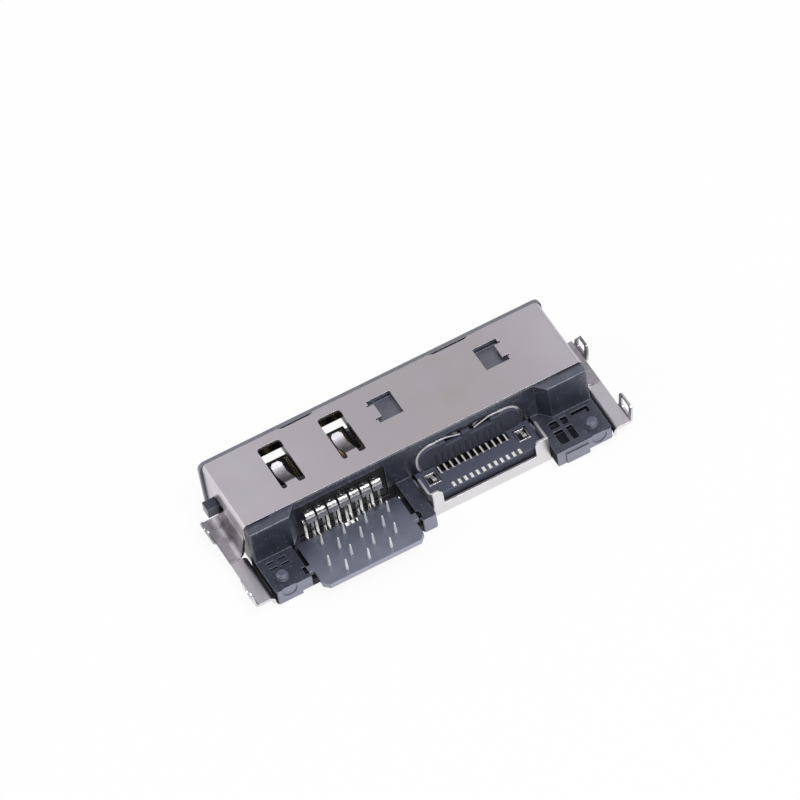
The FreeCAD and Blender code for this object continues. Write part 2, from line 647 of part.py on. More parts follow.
def make_bottom_shell():
    """Bottom plate with the cage round the USB-C tail deck and a strip under the right block."""
    body = new_body("bottom_shell")
    plate_half = "case_half"
    left = "usbc_offset - cage_half"
    right = "usbc_offset + cage_half"
    strip_right = "right_block_inner + strip_width"
    strip_rear = "cover_rear - strip_length"
    add(body, "z", "0", "sheet_thick",
        (("-" + plate_half, "cover_front"), ("-" + plate_half, "cover_rear"), (left, "cover_rear"),
         (left, "cage_rear"), (strip_right, "cage_rear"), (strip_right, "cover_rear"),
         (plate_half, "cover_rear"), (plate_half, "cover_front")))
    add(body, "z", "0", "sheet_thick",
        rectangle("right_block_inner", strip_right, strip_rear, "cover_rear"))
    add(body, "z", "0", "cage_wall_top",
        ((left, "cover_rear - seat_gap"), (left, "cage_rear"), (right, "cage_rear"),
         (right, "cover_rear - seat_gap"), (right + " - sheet_thick", "cover_rear - seat_gap"),
         (right + " - sheet_thick", "cage_rear + sheet_thick"),
         (left + " + sheet_thick", "cage_rear + sheet_thick"),
         (left + " + sheet_thick", "cover_rear - seat_gap")))
    cut(body, "y", "cage_rear", "cage_rear + sheet_thick",
        rectangle(left + " + lobe_width", right + " - lobe_width", "cage_lip_top", "cage_wall_top"))
    cut(body, "x", left, right,
        rectangle("cover_rear - cage_front_length", "cover_rear", "cage_front_top", "cage_wall_top"))
    rounded(body, "lobe_round",
            ("y", {"x": left + " + lobe_width", "z": "cage_wall_top"}),
            ("y", {"x": right + " - lobe_width", "z": "cage_wall_top"}),
            ("z", {"x": left, "y": "cage_rear"}))
    return body


def housing_case(body):
    """Main block, front rim, rear shoulders, blocks and rib."""
    floor = "sheet_thick"
    add(body, "z", floor, "cover_inside",
        rectangle("-case_half", "case_half", "cover_rear", "cover_front"))
    rounded(body, "cover_bend - sheet_thick",
            ("y", {"x": "case_half", "z": "cover_inside"}), ("y", {"x": "-case_half", "z": "cover_inside"}))
    rim_half = "half_width + rim_overhang"
    add(body, "y", "cover_front", "front_face",
        rectangle("-(%s)" % rim_half, rim_half, "0", "body_height"))
    rounded(body, "rim_round",
            ("y", {"x": rim_half, "z": "body_height"}),
            ("y", {"x": "-(%s)" % rim_half, "z": "body_height"}),
            ("y", {"x": rim_half, "z": "0"}), ("y", {"x": "-(%s)" % rim_half, "z": "0"}))
    shoulders = []
    for side in ("-1", "1"):
        outer = "%s * block_side" % side
        inner = "%s * shoulder_inner" % side
        drawn = "%s * (shoulder_inner + shoulder_splay)" % side
        shoulders.append(((outer, "cover_rear"), (inner, "cover_rear"), (drawn, "shoulder_rear"),
                          (outer, "shoulder_rear")))
    add(body, "z", floor, "cover_inside", *shoulders)
    add(body, "z", floor, "board_plane",
        rectangle("-block_side", "left_block_inner", "block_rear", "cover_rear"),
        rectangle("rib_left", "rib_right", "block_rear", "cover_rear"),
        rectangle("right_block_inner", "block_side", "block_rear", "cover_rear"))


def round_shoulders(body):
    """Round the shoulders' rear edges and the blocks' rear corners."""
    rounded(body, "edge_round",
            ("x", {"y": "shoulder_rear", "z": "cover_inside"}),
            ("z", {"x": "block_side", "y": "shoulder_rear"}),
            ("z", {"x": "-block_side", "y": "shoulder_rear"}))
    rounded(body, "corner_round",
            ("z", {"x": "rib_left", "y": "block_rear"}),
            ("z", {"x": "rib_right", "y": "block_rear"}),
            ("z", {"x": "block_side", "y": "block_rear"}),
            ("z", {"x": "-block_side", "y": "block_rear"}))


def open_dock_port(body):
    """Mouth, base seat and the two spring windows of the docking port."""
    half = "mouth_width / 2"
    rise = "mouth_height / 2"
    cut(body, "y", "dock_floor", "front_face",
        rectangle("dock_x - " + half, "dock_x + " + half, "port_axis - " + rise, "port_axis + " + rise))
    seat_half = "(dock_base_width / 2 + seat_gap)"
    seat_rise = "(dock_base_height / 2 + seat_gap)"
    cut(body, "y", "cover_rear", "dock_floor",
        rectangle("dock_x - " + seat_half, "dock_x + " + seat_half,
                  "port_axis - " + seat_rise, "port_axis + " + seat_rise))
    windows = []
    half = "spring_window_width / 2"
    for side in ("-", "+"):
        middle = "dock_x %s spring_spread" % side
        windows.append(rectangle(middle + " - " + half, middle + " + " + half, "leaf_root", "window_front"))
    cut(body, "z", "port_axis + " + rise, "cover_inside", *windows)


def open_usbc_port(body):
    """Bore for the USB-C shell, from face to face."""
    half = "(shell_half + seat_gap)"
    rise = "(shell_rise + seat_gap)"
    cut(body, "y", "cover_rear", "front_face",
        rectangle("usbc_offset - " + half, "usbc_offset + " + half,
                  "port_axis - " + rise, "port_axis + " + rise))
    rounded(body, "usbc_shell_round + seat_gap",
            ("y", {"x": "usbc_offset - " + half, "z": "port_axis - " + rise}),
            ("y", {"x": "usbc_offset - " + half, "z": "port_axis + " + rise}),
            ("y", {"x": "usbc_offset + " + half, "z": "port_axis - " + rise}),
            ("y", {"x": "usbc_offset + " + half, "z": "port_axis + " + rise}))


def cut_latch_seats(body):
    """Recesses that the latch windows of the cover show."""
    seats = []
    half = "latch_window_width / 2"
    for side in ("-", "+"):
        middle = "usbc_offset %s latch_spread" % side
        seats.append(rectangle(middle + " - " + half, middle + " + " + half, "latch_rear", "latch_front"))
    cut(body, "z", "cover_inside - latch_boss_drop", "cover_inside", *seats)


def cut_plate_seats(body):
    """Notches in the left block and the rib for the tail plate's ears."""
    depth = "(plate_ear_reach + seat_gap)"
    front = "plate_ear_front + seat_gap"
    rear = "plate_ear_front - plate_ear_length - seat_gap"
    cut(body, "z", "plate_low", "board_plane",
        rectangle("dock_x - plate_half - " + depth, "left_block_inner", rear, front),
        rectangle("rib_left", "dock_x + plate_half + " + depth, rear, front))


def cut_foot_slots(body):
    """Slots in the outer sides of both blocks for the board locks' feet."""
    middle = "(rear_flange_rear + rear_flange_front) / 2"
    half = "(foot_length / 2 + seat_gap)"
    profile = rectangle(middle + " - " + half, middle + " + " + half,
                        "rear_flange_foot - seat_gap", "rear_flange_foot + sheet_thick + seat_gap")
    toe = "(half_width - foot_depth - seat_gap)"
    cut(body, "x", toe, "block_side", profile)
    cut(body, "x", "-block_side", "-" + toe, profile)


def add_pegs(body):
    sketch = new_sketch(body, "z", "board_plane")
    for side in ("-", ""):
        add_circle(sketch, side + "peg_spread", "peg_y", "peg_radius")
    shaped(body, "Pad", sketch, "peg_height")
    base = body.Tip
    top = size_of("board_plane + peg_height")
    rims = []
    for number, edge in enumerate(base.Shape.Edges, start=1):
        level = near(edge.BoundBox.ZMin, top) and near(edge.BoundBox.ZMax, top)
        if level and edge.Curve.TypeId == "Part::GeomCircle":
            rims.append("Edge%d" % number)
    bevels = body.newObject("PartDesign::Chamfer", "peg_bevels")
    bevels.Base = (base, rims)
    bevels.setExpression("Size", bound("peg_bevel"))
    doc.recompute()


def core_right_block(body):
    """Recesses parted by a cross of webs, and the hooked slot beside them."""
    left = "(right_block_inner + core_inset)"
    web = "(right_block_inner + core_inset + core_left)"
    right = "(right_block_inner + core_inset + core_left + core_web)"
    end = "(right_block_inner + core_inset + core_left + core_web + core_right)"
    front = "(shoulder_rear - core_setback)"
    middle = "(shoulder_rear - core_setback - core_front)"
    behind = "(shoulder_rear - core_setback - core_front - core_web)"
    rear = "(shoulder_rear - core_setback - core_front - core_web - core_rear)"
    floor = "board_plane - core_depth"
    cut(body, "z", floor, "board_plane",
        rectangle(left, web, middle, front), rectangle(right, end, middle, front),
        rectangle(left, web, rear, behind), rectangle(right, end, rear, behind))
    rounded(body, "core_round", ("z", {"x": left, "y": front}), ("z", {"x": left, "y": rear}))
    hook = "(right_block_inner + core_inset + core_left + core_web + core_right + hook_gap)"
    tip = hook + " + hook_length"
    bar = "shoulder_rear - core_setback - hook_width"
    cut(body, "z", floor, "board_plane",
        ((hook, front), (hook, bar), (tip + " - hook_width", bar),
         (tip + " - hook_width", front + " - hook_drop"), (tip, front + " - hook_drop"), (tip, front)))


def slit_left_block(body):
    """Two rows of two short slits."""
    start = "(slit_inset - block_side)"
    gap = "(slit_inset - block_side + slit_short)"
    inner = "(slit_inset - block_side + slit_short + slit_gap)"
    end = "(slit_inset - block_side + slit_short + slit_gap + slit_long)"
    slits = []
    for row in ("0", "1"):
        front = "(shoulder_rear - slit_setback - %s * slit_pitch)" % row
        slits.append(rectangle(start, gap, front + " - slit_open", front))
        slits.append(rectangle(inner, end, front + " - slit_open", front))
    cut(body, "z", "board_plane - slit_depth", "board_plane", *slits)


def shape_rear_faces(body):
    """Raised panel, round reliefs below the pegs and steps along the lower edges."""
    start = "right_block_inner + panel_inset"
    add(body, "y", "block_rear - panel_raise", "block_rear",
        rectangle(start, start + " + panel_width", "sheet_thick", "panel_top"))
    sketch = new_sketch(body, "y", "block_rear")
    for side in ("-", ""):
        add_circle(sketch, side + "peg_spread", "dish_height", "dish_radius")
    shaped(body, "Pocket", sketch, "-dish_depth")
    step_top = "sheet_thick + step_height"
    cut(body, "y", "block_rear", "block_rear + step_depth",
        rectangle(start + " + panel_width", "block_side", "sheet_thick", step_top),
        rectangle("left_block_inner - left_step", "left_block_inner", "sheet_thick", step_top))


def add_side_stub(body):
    add(body, "x", "-half_width - stub_reach", "-case_half",
        rectangle("stub_front - stub_width", "stub_front", "stub_low", "stub_low + stub_height"))


def make_housing():
    body = new_body("housing")
    housing_case(body)
    round_shoulders(body)
    open_dock_port(body)
    open_usbc_port(body)
    cut_latch_seats(body)
    cut_plate_seats(body)
    cut_foot_slots(body)
    core_right_block(body)
    slit_left_block(body)
    shape_rear_faces(body)
    add_pegs(body)
    add_side_stub(body)
    return body


def tail_row(row):
    """Place of a row of tails along Y, counted from the plate's front edge."""
    return "(plate_front - row_setback - %d * row_pitch)" % row


def dock_tails():
    """Name, row and place along X of each docking contact."""
    tails = []
    for number in range(1, DOCK_ROW + 1):
        turn = (number + 1) % 2
        place = "dock_x + %s * dock_pitch" % (number - (DOCK_ROW + 1) / 2)
        upper_x = "(%s + row_stagger)" % place
        lower_x = "(%s - row_stagger)" % place
        tails.append(("dock_upper_contact_%d" % number, turn, upper_x))
        tails.append(("dock_lower_contact_%d" % number, turn + 2, lower_x))
    return tails


def make_tail_plate():
    """Plate with side ears, a front notch and a hole round each tail."""
    body = new_body("dock_tail_plate")
    left = "dock_x - plate_half"
    right = "dock_x + plate_half"
    chamfer_rear = "plate_rear + plate_chamfer"
    ear_rear = "plate_ear_front - plate_ear_length"
    notch_left = "dock_x + row_stagger - plate_notch_width / 2"
    notch_right = "dock_x + row_stagger + plate_notch_width / 2"
    notch = "plate_front - plate_notch_depth"
    add(body, "z", "plate_low", "board_plane",
        ((left, "plate_front"), (left, "plate_ear_front"), (left + " - plate_ear_reach", "plate_ear_front"),
         (left + " - plate_ear_reach", ear_rear), (left, ear_rear), (left, chamfer_rear),
         (left + " + plate_chamfer", "plate_rear"), (right + " - plate_chamfer", "plate_rear"),
         (right, chamfer_rear), (right, ear_rear), (right + " + plate_ear_reach", ear_rear),
         (right + " + plate_ear_reach", "plate_ear_front"), (right, "plate_ear_front"),
         (right, "plate_front"), (notch_right, "plate_front"), (notch_right, notch),
         (notch_left, notch), (notch_left, "plate_front")))
    rounded(body, "plate_round",
            ("z", {"x": left, "y": "plate_front"}), ("z", {"x": right, "y": "plate_front"}))
    holes = []
    for name, row, tail_x in dock_tails():
        across = "(dock_contact_width / 2 + hole_gap)"
        along = "(dock_contact_thick / 2 + hole_gap)"
        holes.append(rectangle(tail_x + " - " + across, tail_x + " + " + across,
                               tail_row(row) + " - " + along, tail_row(row) + " + " + along))
    cut(body, "z", "plate_low", "board_plane", *holes)
    return body


def taper_tail(body, row, middle):
    """Draw the tail in towards its tip."""
    low = "(board_plane + dock_contact_thick)"
    top = "board_plane + tail_height"
    tapers = []
    for side in ("-", "+"):
        wide = "%s %s dock_contact_width / 2" % (middle, side)
        narrow = "%s %s tail_tip / 2" % (middle, side)
        tapers.append(((wide, low), (wide, top), (narrow, top)))
    cut(body, "y", tail_row(row) + " - dock_contact_thick / 2",
        tail_row(row) + " + dock_contact_thick / 2", *tapers)


def make_dock_upper_contact(name, row, middle):
    """Strip from the tongue's top over the base, down behind it and up through the plate."""
    body = new_body(name)
    strip = "dock_contact_thick"
    tip = "dock_tip - contact_setback"
    rise = "(dock_floor - contact_root)"
    back = tail_row(row) + " - dock_contact_thick / 2"
    front = tail_row(row) + " + dock_contact_thick / 2"
    tail_top = "board_plane + tail_height"
    half = "dock_contact_width / 2"
    add(body, "x", middle + " - " + half, middle + " + " + half,
        ((rise, "dock_top - " + strip), (rise, "head_top"), ("drop_y", "head_top"),
         ("drop_y", "run_top"), (front, "run_top"), (front, tail_top), (back, tail_top),
         (back, "run_top - " + strip), ("drop_y + " + strip, "run_top - " + strip),
         ("drop_y + " + strip, "head_top - " + strip), (rise + " - " + strip, "head_top - " + strip),
         (rise + " - " + strip, "dock_top - " + strip)))
    left = "(%s + row_jog - dock_contact_width / 2)" % middle
    right = "(%s + row_jog + dock_contact_width / 2)" % middle
    outer = middle + " - " + half
    add(body, "z", "dock_top - " + strip, "dock_top",
        ((outer, rise + " - " + strip), (outer, rise), (left, rise), (left, tip), (right, tip),
         (right, rise + " - " + strip)))
    head_low = "head_top - head_drop"
    wall = "cover_rear"
    half = "head_width / 2"
    add(body, "x", middle + " - " + half, middle + " + " + half,
        ((wall, "head_top"), ("drop_y", "head_top"), ("drop_y", head_low), ("drop_y + " + strip, head_low),
         ("drop_y + " + strip, "head_top - " + strip), (wall, "head_top - " + strip)))
    rounded(body, "head_bend", ("x", {"y": "drop_y", "z": "head_top"}))
    rounded(body, "head_bend - dock_contact_thick",
            ("x", {"y": "drop_y + " + strip, "z": "head_top - " + strip}))
    rounded(body, "contact_bend",
            ("x", {"y": "drop_y + " + strip, "z": "run_top - " + strip}),
            ("x", {"y": back, "z": "run_top - " + strip}))
    taper_tail(body, row, middle)
    hole = "head_hole / 2"
    hole_y = "(cover_rear - hole_setback)"
    cut(body, "z", "head_top - " + strip, "head_top",
        rectangle(middle + " - " + hole, middle + " + " + hole,
                  hole_y + " - " + hole, hole_y + " + " + hole))
    return body


def make_dock_lower_contact(name, row, middle):
    """Strip from the tongue's underside down behind the base and up through the plate."""
    body = new_body(name)
    strip = "dock_contact_thick"
    tip = "dock_tip - contact_setback"
    fall = "(dock_floor - contact_root)"
    leg = "(cover_rear - lower_reach)"
    back = tail_row(row) + " - dock_contact_thick / 2"
    front = tail_row(row) + " + dock_contact_thick / 2"
    tail_top = "board_plane + tail_height"
    half = "dock_contact_width / 2"
    add(body, "x", middle + " - " + half, middle + " + " + half,
        ((tip, "dock_low + " + strip), (fall, "dock_low + " + strip), (fall, "lower_exit"),
         (leg, "lower_exit"), (leg, "run_top"), (front, "run_top"), (front, tail_top), (back, tail_top),
         (back, "run_top - " + strip), (leg + " + " + strip, "run_top - " + strip),
         (leg + " + " + strip, "lower_exit - " + strip), (fall + " - " + strip, "lower_exit - " + strip),
         (fall + " - " + strip, "dock_low"), (tip, "dock_low")))
    rounded(body, "contact_bend",
            ("x", {"y": leg, "z": "lower_exit"}),
            ("x", {"y": leg + " + " + strip, "z": "run_top - " + strip}),
            ("x", {"y": back, "z": "run_top - " + strip}))
    taper_tail(body, row, middle)
    return body


def make_dock_contacts():
    contacts = []
    for name, row, middle in dock_tails():
        maker = make_dock_upper_contact if row < 2 else make_dock_lower_contact
        contacts.append(maker(name, row, middle))
    return contacts


def moulded_round(name, moulding, inserts):
    """Take the inserts' room out of a moulding, as insert moulding leaves it."""
    group = doc.addObject("Part::Compound", name + "_inserts")
    group.Links = inserts
    finished = doc.addObject("Part::Cut", name)
    finished.Label = name
    finished.Base = moulding
    finished.Tool = group
    doc.recompute()
    return finished


def make_dock_insulator(contacts):
    """Base in the housing's rear seat, with the tongue that carries the contacts."""
    body = new_body("dock_insulator_moulding")
    half = "dock_base_width / 2"
    rise = "dock_base_height / 2"
    add(body, "y", "dock_base_rear", "dock_floor",
        rectangle("dock_x - " + half, "dock_x + " + half, "port_axis - " + rise, "port_axis + " + rise))
    half = "dock_tongue_width / 2"
    add(body, "y", "dock_floor", "dock_tip",
        rectangle("dock_x - " + half, "dock_x + " + half, "dock_low", "dock_top"))
    rounded(body, "tongue_round",
            ("x", {"y": "dock_tip", "z": "dock_top"}), ("x", {"y": "dock_tip", "z": "dock_low"}))
    return moulded_round("dock_insulator", body, contacts)


def make_usbc_shell():
    """Rolled shell with two fingers bent down from its top wall."""
    body = new_body("usbc_shell")
    walls = (("Pad", "shell_half", "shell_rise"), ("Pocket", "bore_half", "bore_rise"))
    for kind, half, rise in walls:
        profile = rectangle("usbc_offset - " + half, "usbc_offset + " + half,
                            "port_axis - " + rise, "port_axis + " + rise)
        formed(body, kind, "y", "cover_rear", "front_face", [profile])
    for kind, half, rise in walls:
        bend = "usbc_shell_round" if kind == "Pad" else "usbc_shell_round - usbc_shell_wall"
        left = "usbc_offset - " + half
        right = "usbc_offset + " + half
        low = "port_axis - " + rise
        top = "port_axis + " + rise
        rounded(body, bend,
                ("y", {"x": left, "z": low}), ("y", {"x": left, "z": top}),
                ("y", {"x": right, "z": low}), ("y", {"x": right, "z": top}))
    top = "(port_axis + shell_rise)"
    outer = "(finger_spread + finger_length)"
    cut(body, "y", "cover_rear", "cover_rear + finger_depth + seat_gap",
        rectangle("usbc_offset - " + outer, "usbc_offset + " + outer, top + " - usbc_shell_wall", top))
    for side in ("-1", "1"):
        root = "usbc_offset + %s * %s" % (side, outer)
        knee = "usbc_offset + %s * (%s - finger_knee)" % (side, outer)
        end = "usbc_offset + %s * finger_spread" % side
        add(body, "y", "cover_rear", "cover_rear + finger_depth",
            ((root, top), (knee, top), (end, top + " - finger_dip"),
             (end, top + " - finger_dip - finger_thick"), (knee, top + " - finger_thick"),
             (root, top + " - finger_thick")))
    return body


def usbc_contact_x(number, shift):
    return "(usbc_offset + %s * usbc_pitch %s usbc_row_shift)" % (number - (USBC_ROW + 1) / 2, shift)


def make_usbc_upper_contact(number):
    """Strip from the tongue's top down to the front row of solder tails."""
    body = new_body("usbc_upper_contact_%d" % number)
    middle = usbc_contact_x(number, "-")
    half = "usbc_contact_width / 2"
    strip = "usbc_contact_thick"
    tip = "usbc_tip - contact_setback"
    leg = "(usbc_base_rear + usbc_upper_leg)"
    end = "usbc_base_rear - front_tail_length"
    add(body, "x", middle + " - " + half, middle + " + " + half,
        ((tip, "usbc_top"), (leg + " - " + strip, "usbc_top"), (leg + " - " + strip, "board_plane"),
         (end, "board_plane"), (end, "board_plane - " + strip), (leg, "board_plane - " + strip),
         (leg, "usbc_top - " + strip), (tip, "usbc_top - " + strip)))
    return body


def make_usbc_lower_contact(number):
    """Strip from the tongue's underside through the deck to the rear row of tails."""
    body = new_body("usbc_lower_contact_%d" % number)
    middle = usbc_contact_x(number, "+")
    half = "usbc_contact_width / 2"
    strip = "usbc_contact_thick"
    tip = "usbc_tip - contact_setback"
    leg = "(usbc_base_rear + usbc_lower_leg)"
    rise = "(deck_rear + rear_tail_setback + rear_tail_length)"
    end = "deck_rear + rear_tail_setback"
    add(body, "x", middle + " - " + half, middle + " + " + half,
        ((tip, "usbc_low + " + strip), (leg + " - " + strip, "usbc_low + " + strip),
         (leg + " - " + strip, "usbc_run_top"), (rise, "usbc_run_top"), (rise, "board_plane"),
         (end, "board_plane"), (end, "board_plane - " + strip),
         (rise + " - " + strip, "board_plane - " + strip),
         (rise + " - " + strip, "usbc_run_top - " + strip), (leg, "usbc_run_top - " + strip),
         (leg, "usbc_low"), (tip, "usbc_low")))
    return body


def make_usbc_midplate():
    """Stiffening plate in the tongue with two solder feet behind the base."""
    body = new_body("usbc_midplate")
    low = "port_axis - midplate_thick / 2"
    top = "port_axis + midplate_thick / 2"
    half = "midplate_width / 2"
    wing = "(midplate_foot_spread + midplate_foot_width / 2)"
    wing_inner = "(midplate_foot_spread - midplate_foot_width / 2)"
    leg = "(usbc_base_rear + press_gap)"
    back = "(usbc_base_rear + usbc_upper_leg + midplate_gap)"
    front = "usbc_tip - midplate_setback"
    left = "usbc_offset - "
    right = "usbc_offset + "
    add(body, "z", low, top,
        ((left + half, front), (left + half, "usbc_floor"), (left + wing, "usbc_floor"), (left + wing, leg),
         (left + wing_inner, leg), (left + wing_inner, back), (right + wing_inner, back),
         (right + wing_inner, leg), (right + wing, leg), (right + wing, "usbc_floor"),
         (right + half, "usbc_floor"), (right + half, front)))
    strip = "midplate_thick"
    half_foot = "midplate_foot_width / 2"
    half_frame = "frame_width / 2"
    inner = "(frame_width / 2 - frame_bar)"
    tab_root = "frame_rear + frame_bar"
    tab_tip = tab_root + " + frame_tab_length"
    low = "board_plane - " + strip
    for side in ("-", "+"):
        middle = "usbc_offset %s midplate_foot_spread" % side
        add(body, "x", middle + " - " + half_foot, middle + " + " + half_foot,
            ((leg, top), (leg, "usbc_run_top"), ("frame_front", "usbc_run_top"), ("frame_front", "board_plane"),
             ("frame_front - " + strip, "board_plane"), ("frame_front - " + strip, "usbc_run_top - " + strip),
             (leg + " + " + strip, "usbc_run_top - " + strip), (leg + " + " + strip, top)))
        add(body, "z", low, "board_plane",
            rectangle(middle + " - " + half_frame, middle + " + " + half_frame, "frame_rear", "frame_front"),
            rectangle(middle + " - " + inner, middle + " + " + inner, tab_root, "frame_front - frame_bar"))
        add(body, "x", middle, middle + " + frame_tab_width",
            ((tab_root, "board_plane"), (tab_tip, "board_plane - frame_tab_dip"),
             (tab_tip, low + " - frame_tab_dip"), (tab_root, low)))
    return body


def make_usbc_insulator(inserts):
    """Base inside the shell, tongue with its thick root, and the deck of solder tails."""
    body = new_body("usbc_insulator_moulding")
    half = "(bore_half - press_gap)"
    rise = "(bore_rise - press_gap)"
    left = "usbc_offset - " + half
    right = "usbc_offset + " + half
    low = "port_axis - " + rise
    top = "port_axis + " + rise
    add(body, "y", "usbc_base_rear", "usbc_floor", rectangle(left, right, low, top))
    rounded(body, "usbc_shell_round - usbc_shell_wall",
            ("y", {"x": left, "z": low}), ("y", {"x": left, "z": top}),
            ("y", {"x": right, "z": low}), ("y", {"x": right, "z": top}))
    pockets = []
    for side, reach in (("-1", "seat_gap"), ("1", "pocket_reach")):
        near_end = "usbc_offset + %s * (finger_spread - %s)" % (side, reach)
        step = "usbc_offset + %s * (finger_spread + pocket_length)" % side
        far_end = "usbc_offset + %s * (finger_spread + finger_length)" % side
        floor = top + " - finger_dip - finger_pocket"
        pockets.append(((near_end, top), (far_end, top), (far_end, top + " - seat_gap"),
                        (step, top + " - seat_gap"), (step, floor), (near_end, floor)))
    cut(body, "y", "usbc_base_rear", "cover_rear + finger_depth + seat_gap", *pockets)
    grooves = []
    for number in range(1, USBC_ROW + 1):
        middle = usbc_contact_x(number, "-")
        grooves.append(rectangle(middle + " - groove_width / 2", middle + " + groove_width / 2",
                                 "board_plane", "board_plane + groove_height"))
    cut(body, "y", "usbc_base_rear", "usbc_base_rear + groove_depth", *grooves)
    add(body, "z", "tail_deck_low", "board_plane",
        rectangle("usbc_offset - deck_half", "usbc_offset + deck_half",
                  "deck_rear", "cover_rear - seat_gap"))
    rounded(body, "deck_round", ("x", {"y": "deck_rear", "z": "board_plane"}))
    add(body, "y", "usbc_floor", "usbc_floor + usbc_root_length",
        rectangle("usbc_offset - usbc_root_width / 2", "usbc_offset + usbc_root_width / 2",
                  "port_axis - usbc_root_height / 2", "port_axis + usbc_root_height / 2"))
    add(body, "y", "usbc_floor", "usbc_tip",
        rectangle("usbc_offset - usbc_tongue_width / 2", "usbc_offset + usbc_tongue_width / 2",
                  "usbc_low", "usbc_top"))
    windows = []
    for side in ("-", "+"):
        middle = "usbc_offset %s midplate_foot_spread" % side
        half = "(frame_width / 2 + seat_gap)"
        windows.append(rectangle(middle + " - " + half, middle + " + " + half,
                                 "frame_rear - seat_gap", "frame_front + seat_gap"))
    cut(body, "z", "usbc_run_top - midplate_thick", "board_plane", *windows)
    middle = "usbc_offset - usbc_row_shift"
    cut(body, "z", "board_plane - trough_depth", "board_plane",
        rectangle(middle + " - trough_width / 2", middle + " + trough_width / 2",
                  "usbc_base_rear - trough_length", "usbc_base_rear"))
    return moulded_round("usbc_insulator", body, inserts)


def make_ground_sleeve():
    """Thin sleeve round the root of the tongue."""
    body = new_body("usbc_ground_sleeve")
    half = "(usbc_root_width / 2 + sleeve_thick)"
    rise = "(usbc_root_height / 2 + sleeve_thick)"
    add(body, "y", "usbc_floor", "usbc_floor + usbc_root_length",
        rectangle("usbc_offset - " + half, "usbc_offset + " + half,
                  "port_axis - " + rise, "port_axis + " + rise))
    rounded(body, "sleeve_thick",
            ("y", {"x": "usbc_offset - " + half, "z": "port_axis - " + rise}),
            ("y", {"x": "usbc_offset - " + half, "z": "port_axis + " + rise}),
            ("y", {"x": "usbc_offset + " + half, "z": "port_axis - " + rise}),
            ("y", {"x": "usbc_offset + " + half, "z": "port_axis + " + rise}))
    cut(body, "y", "usbc_floor", "usbc_floor + usbc_root_length",
        rectangle("usbc_offset - usbc_root_width / 2", "usbc_offset + usbc_root_width / 2",
                  "port_axis - usbc_root_height / 2", "port_axis + usbc_root_height / 2"))
    return body


def make_usbc_port():
    contacts = []
    for number in range(1, USBC_ROW + 1):
        contacts.append(make_usbc_upper_contact(number))
        contacts.append(make_usbc_lower_contact(number))
    midplate = make_usbc_midplate()
    insulator = make_usbc_insulator(contacts + [midplate])
    return [make_usbc_shell(), insulator, midplate, make_ground_sleeve()] + contacts


def make_dock_port():
    contacts = make_dock_contacts()
    return [make_dock_insulator(contacts), make_tail_plate()] + contacts


def check_and_export(nodes):
    """Refuse failed features and bad shapes, then write one file for each piece."""
    for item in doc.Objects:
        if "Invalid" in item.State or "Error" in item.State:
            raise RuntimeError("failed: " + item.Name)
    for node in nodes:
        if node.Shape.isNull() or not node.Shape.isValid() or len(node.Shape.Solids) != 1:
            raise RuntimeError("bad shape: " + node.Label)
    os.makedirs("parts", exist_ok=True)
    for node in nodes:
        node.Shape.exportStep("parts/%s.step" % node.Label)


fill_sheet()
pieces = [
    make_housing(),
    make_top_cover(),
    make_bottom_shell(),
    make_board_lock("left_board_lock", "-1"),
    make_board_lock("right_board_lock", "1"),
]
pieces += make_dock_port()
pieces += make_usbc_port()
check_and_export(pieces)
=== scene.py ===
"""Looks, light and camera for a two-port edge socket.

A docking port and a USB-C port share one moulding under one stamped cover.
"""

import logging
from dataclasses import dataclass, field
from enum import Enum
from typing import Sequence

import bmesh
import bpy
from mathutils import Matrix, Vector


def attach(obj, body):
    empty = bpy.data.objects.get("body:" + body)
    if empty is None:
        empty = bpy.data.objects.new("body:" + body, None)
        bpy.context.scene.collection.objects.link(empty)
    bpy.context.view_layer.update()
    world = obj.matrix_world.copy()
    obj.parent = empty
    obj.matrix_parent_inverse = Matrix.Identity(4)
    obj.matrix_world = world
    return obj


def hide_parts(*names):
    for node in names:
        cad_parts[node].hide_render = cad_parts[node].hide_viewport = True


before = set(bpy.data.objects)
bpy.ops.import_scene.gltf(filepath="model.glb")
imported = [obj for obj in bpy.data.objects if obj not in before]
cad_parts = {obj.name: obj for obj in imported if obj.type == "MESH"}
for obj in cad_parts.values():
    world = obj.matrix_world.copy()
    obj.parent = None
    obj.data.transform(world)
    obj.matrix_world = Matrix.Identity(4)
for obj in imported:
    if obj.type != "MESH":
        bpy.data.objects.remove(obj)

LOG = logging.getLogger("edge_socket")
MM = 0.001
ROOT = "root"

Color = tuple[float, float, float]
Place = tuple[float, float, float]
Span = tuple[float, float]
Spread = tuple[float, float, float, float]
Node = bpy.types.Node
Socket = bpy.types.NodeSocket

# Axes, and how far a mask takes to rise at a plain edge and at a sharp one.
X, Y, Z = range(3)
SOFT = 0.05 * MM
SHARP = 0.02 * MM
# Ways a face can look: an axis, and the normal's share of it where a mask is 0 and where it is 1.
REARWARD = (Y, -0.6, -0.9)
SQUARE_REAR = (Y, -0.7, -0.95)
LEFTWARD = (X, -0.6, -0.9)
UPWARD = (Z, 0.7, 0.95)
TOPSIDE = (Z, 0.6, 0.9)
NOT_TOPSIDE = (Z, 0.9, 0.6)
# Sockets of the Mix node when it mixes colours.
MIX_FACTOR, MIX_ONE, MIX_OTHER = 0, 6, 7
MIX_RESULT = 2
BEVEL_SAMPLES = 6
WHITE = (1.0, 1.0, 1.0, 1.0)


@dataclass(frozen=True)
class Grain:
    """Size and make-up of one noise."""

    scale: float
    detail: float
    roughness: float


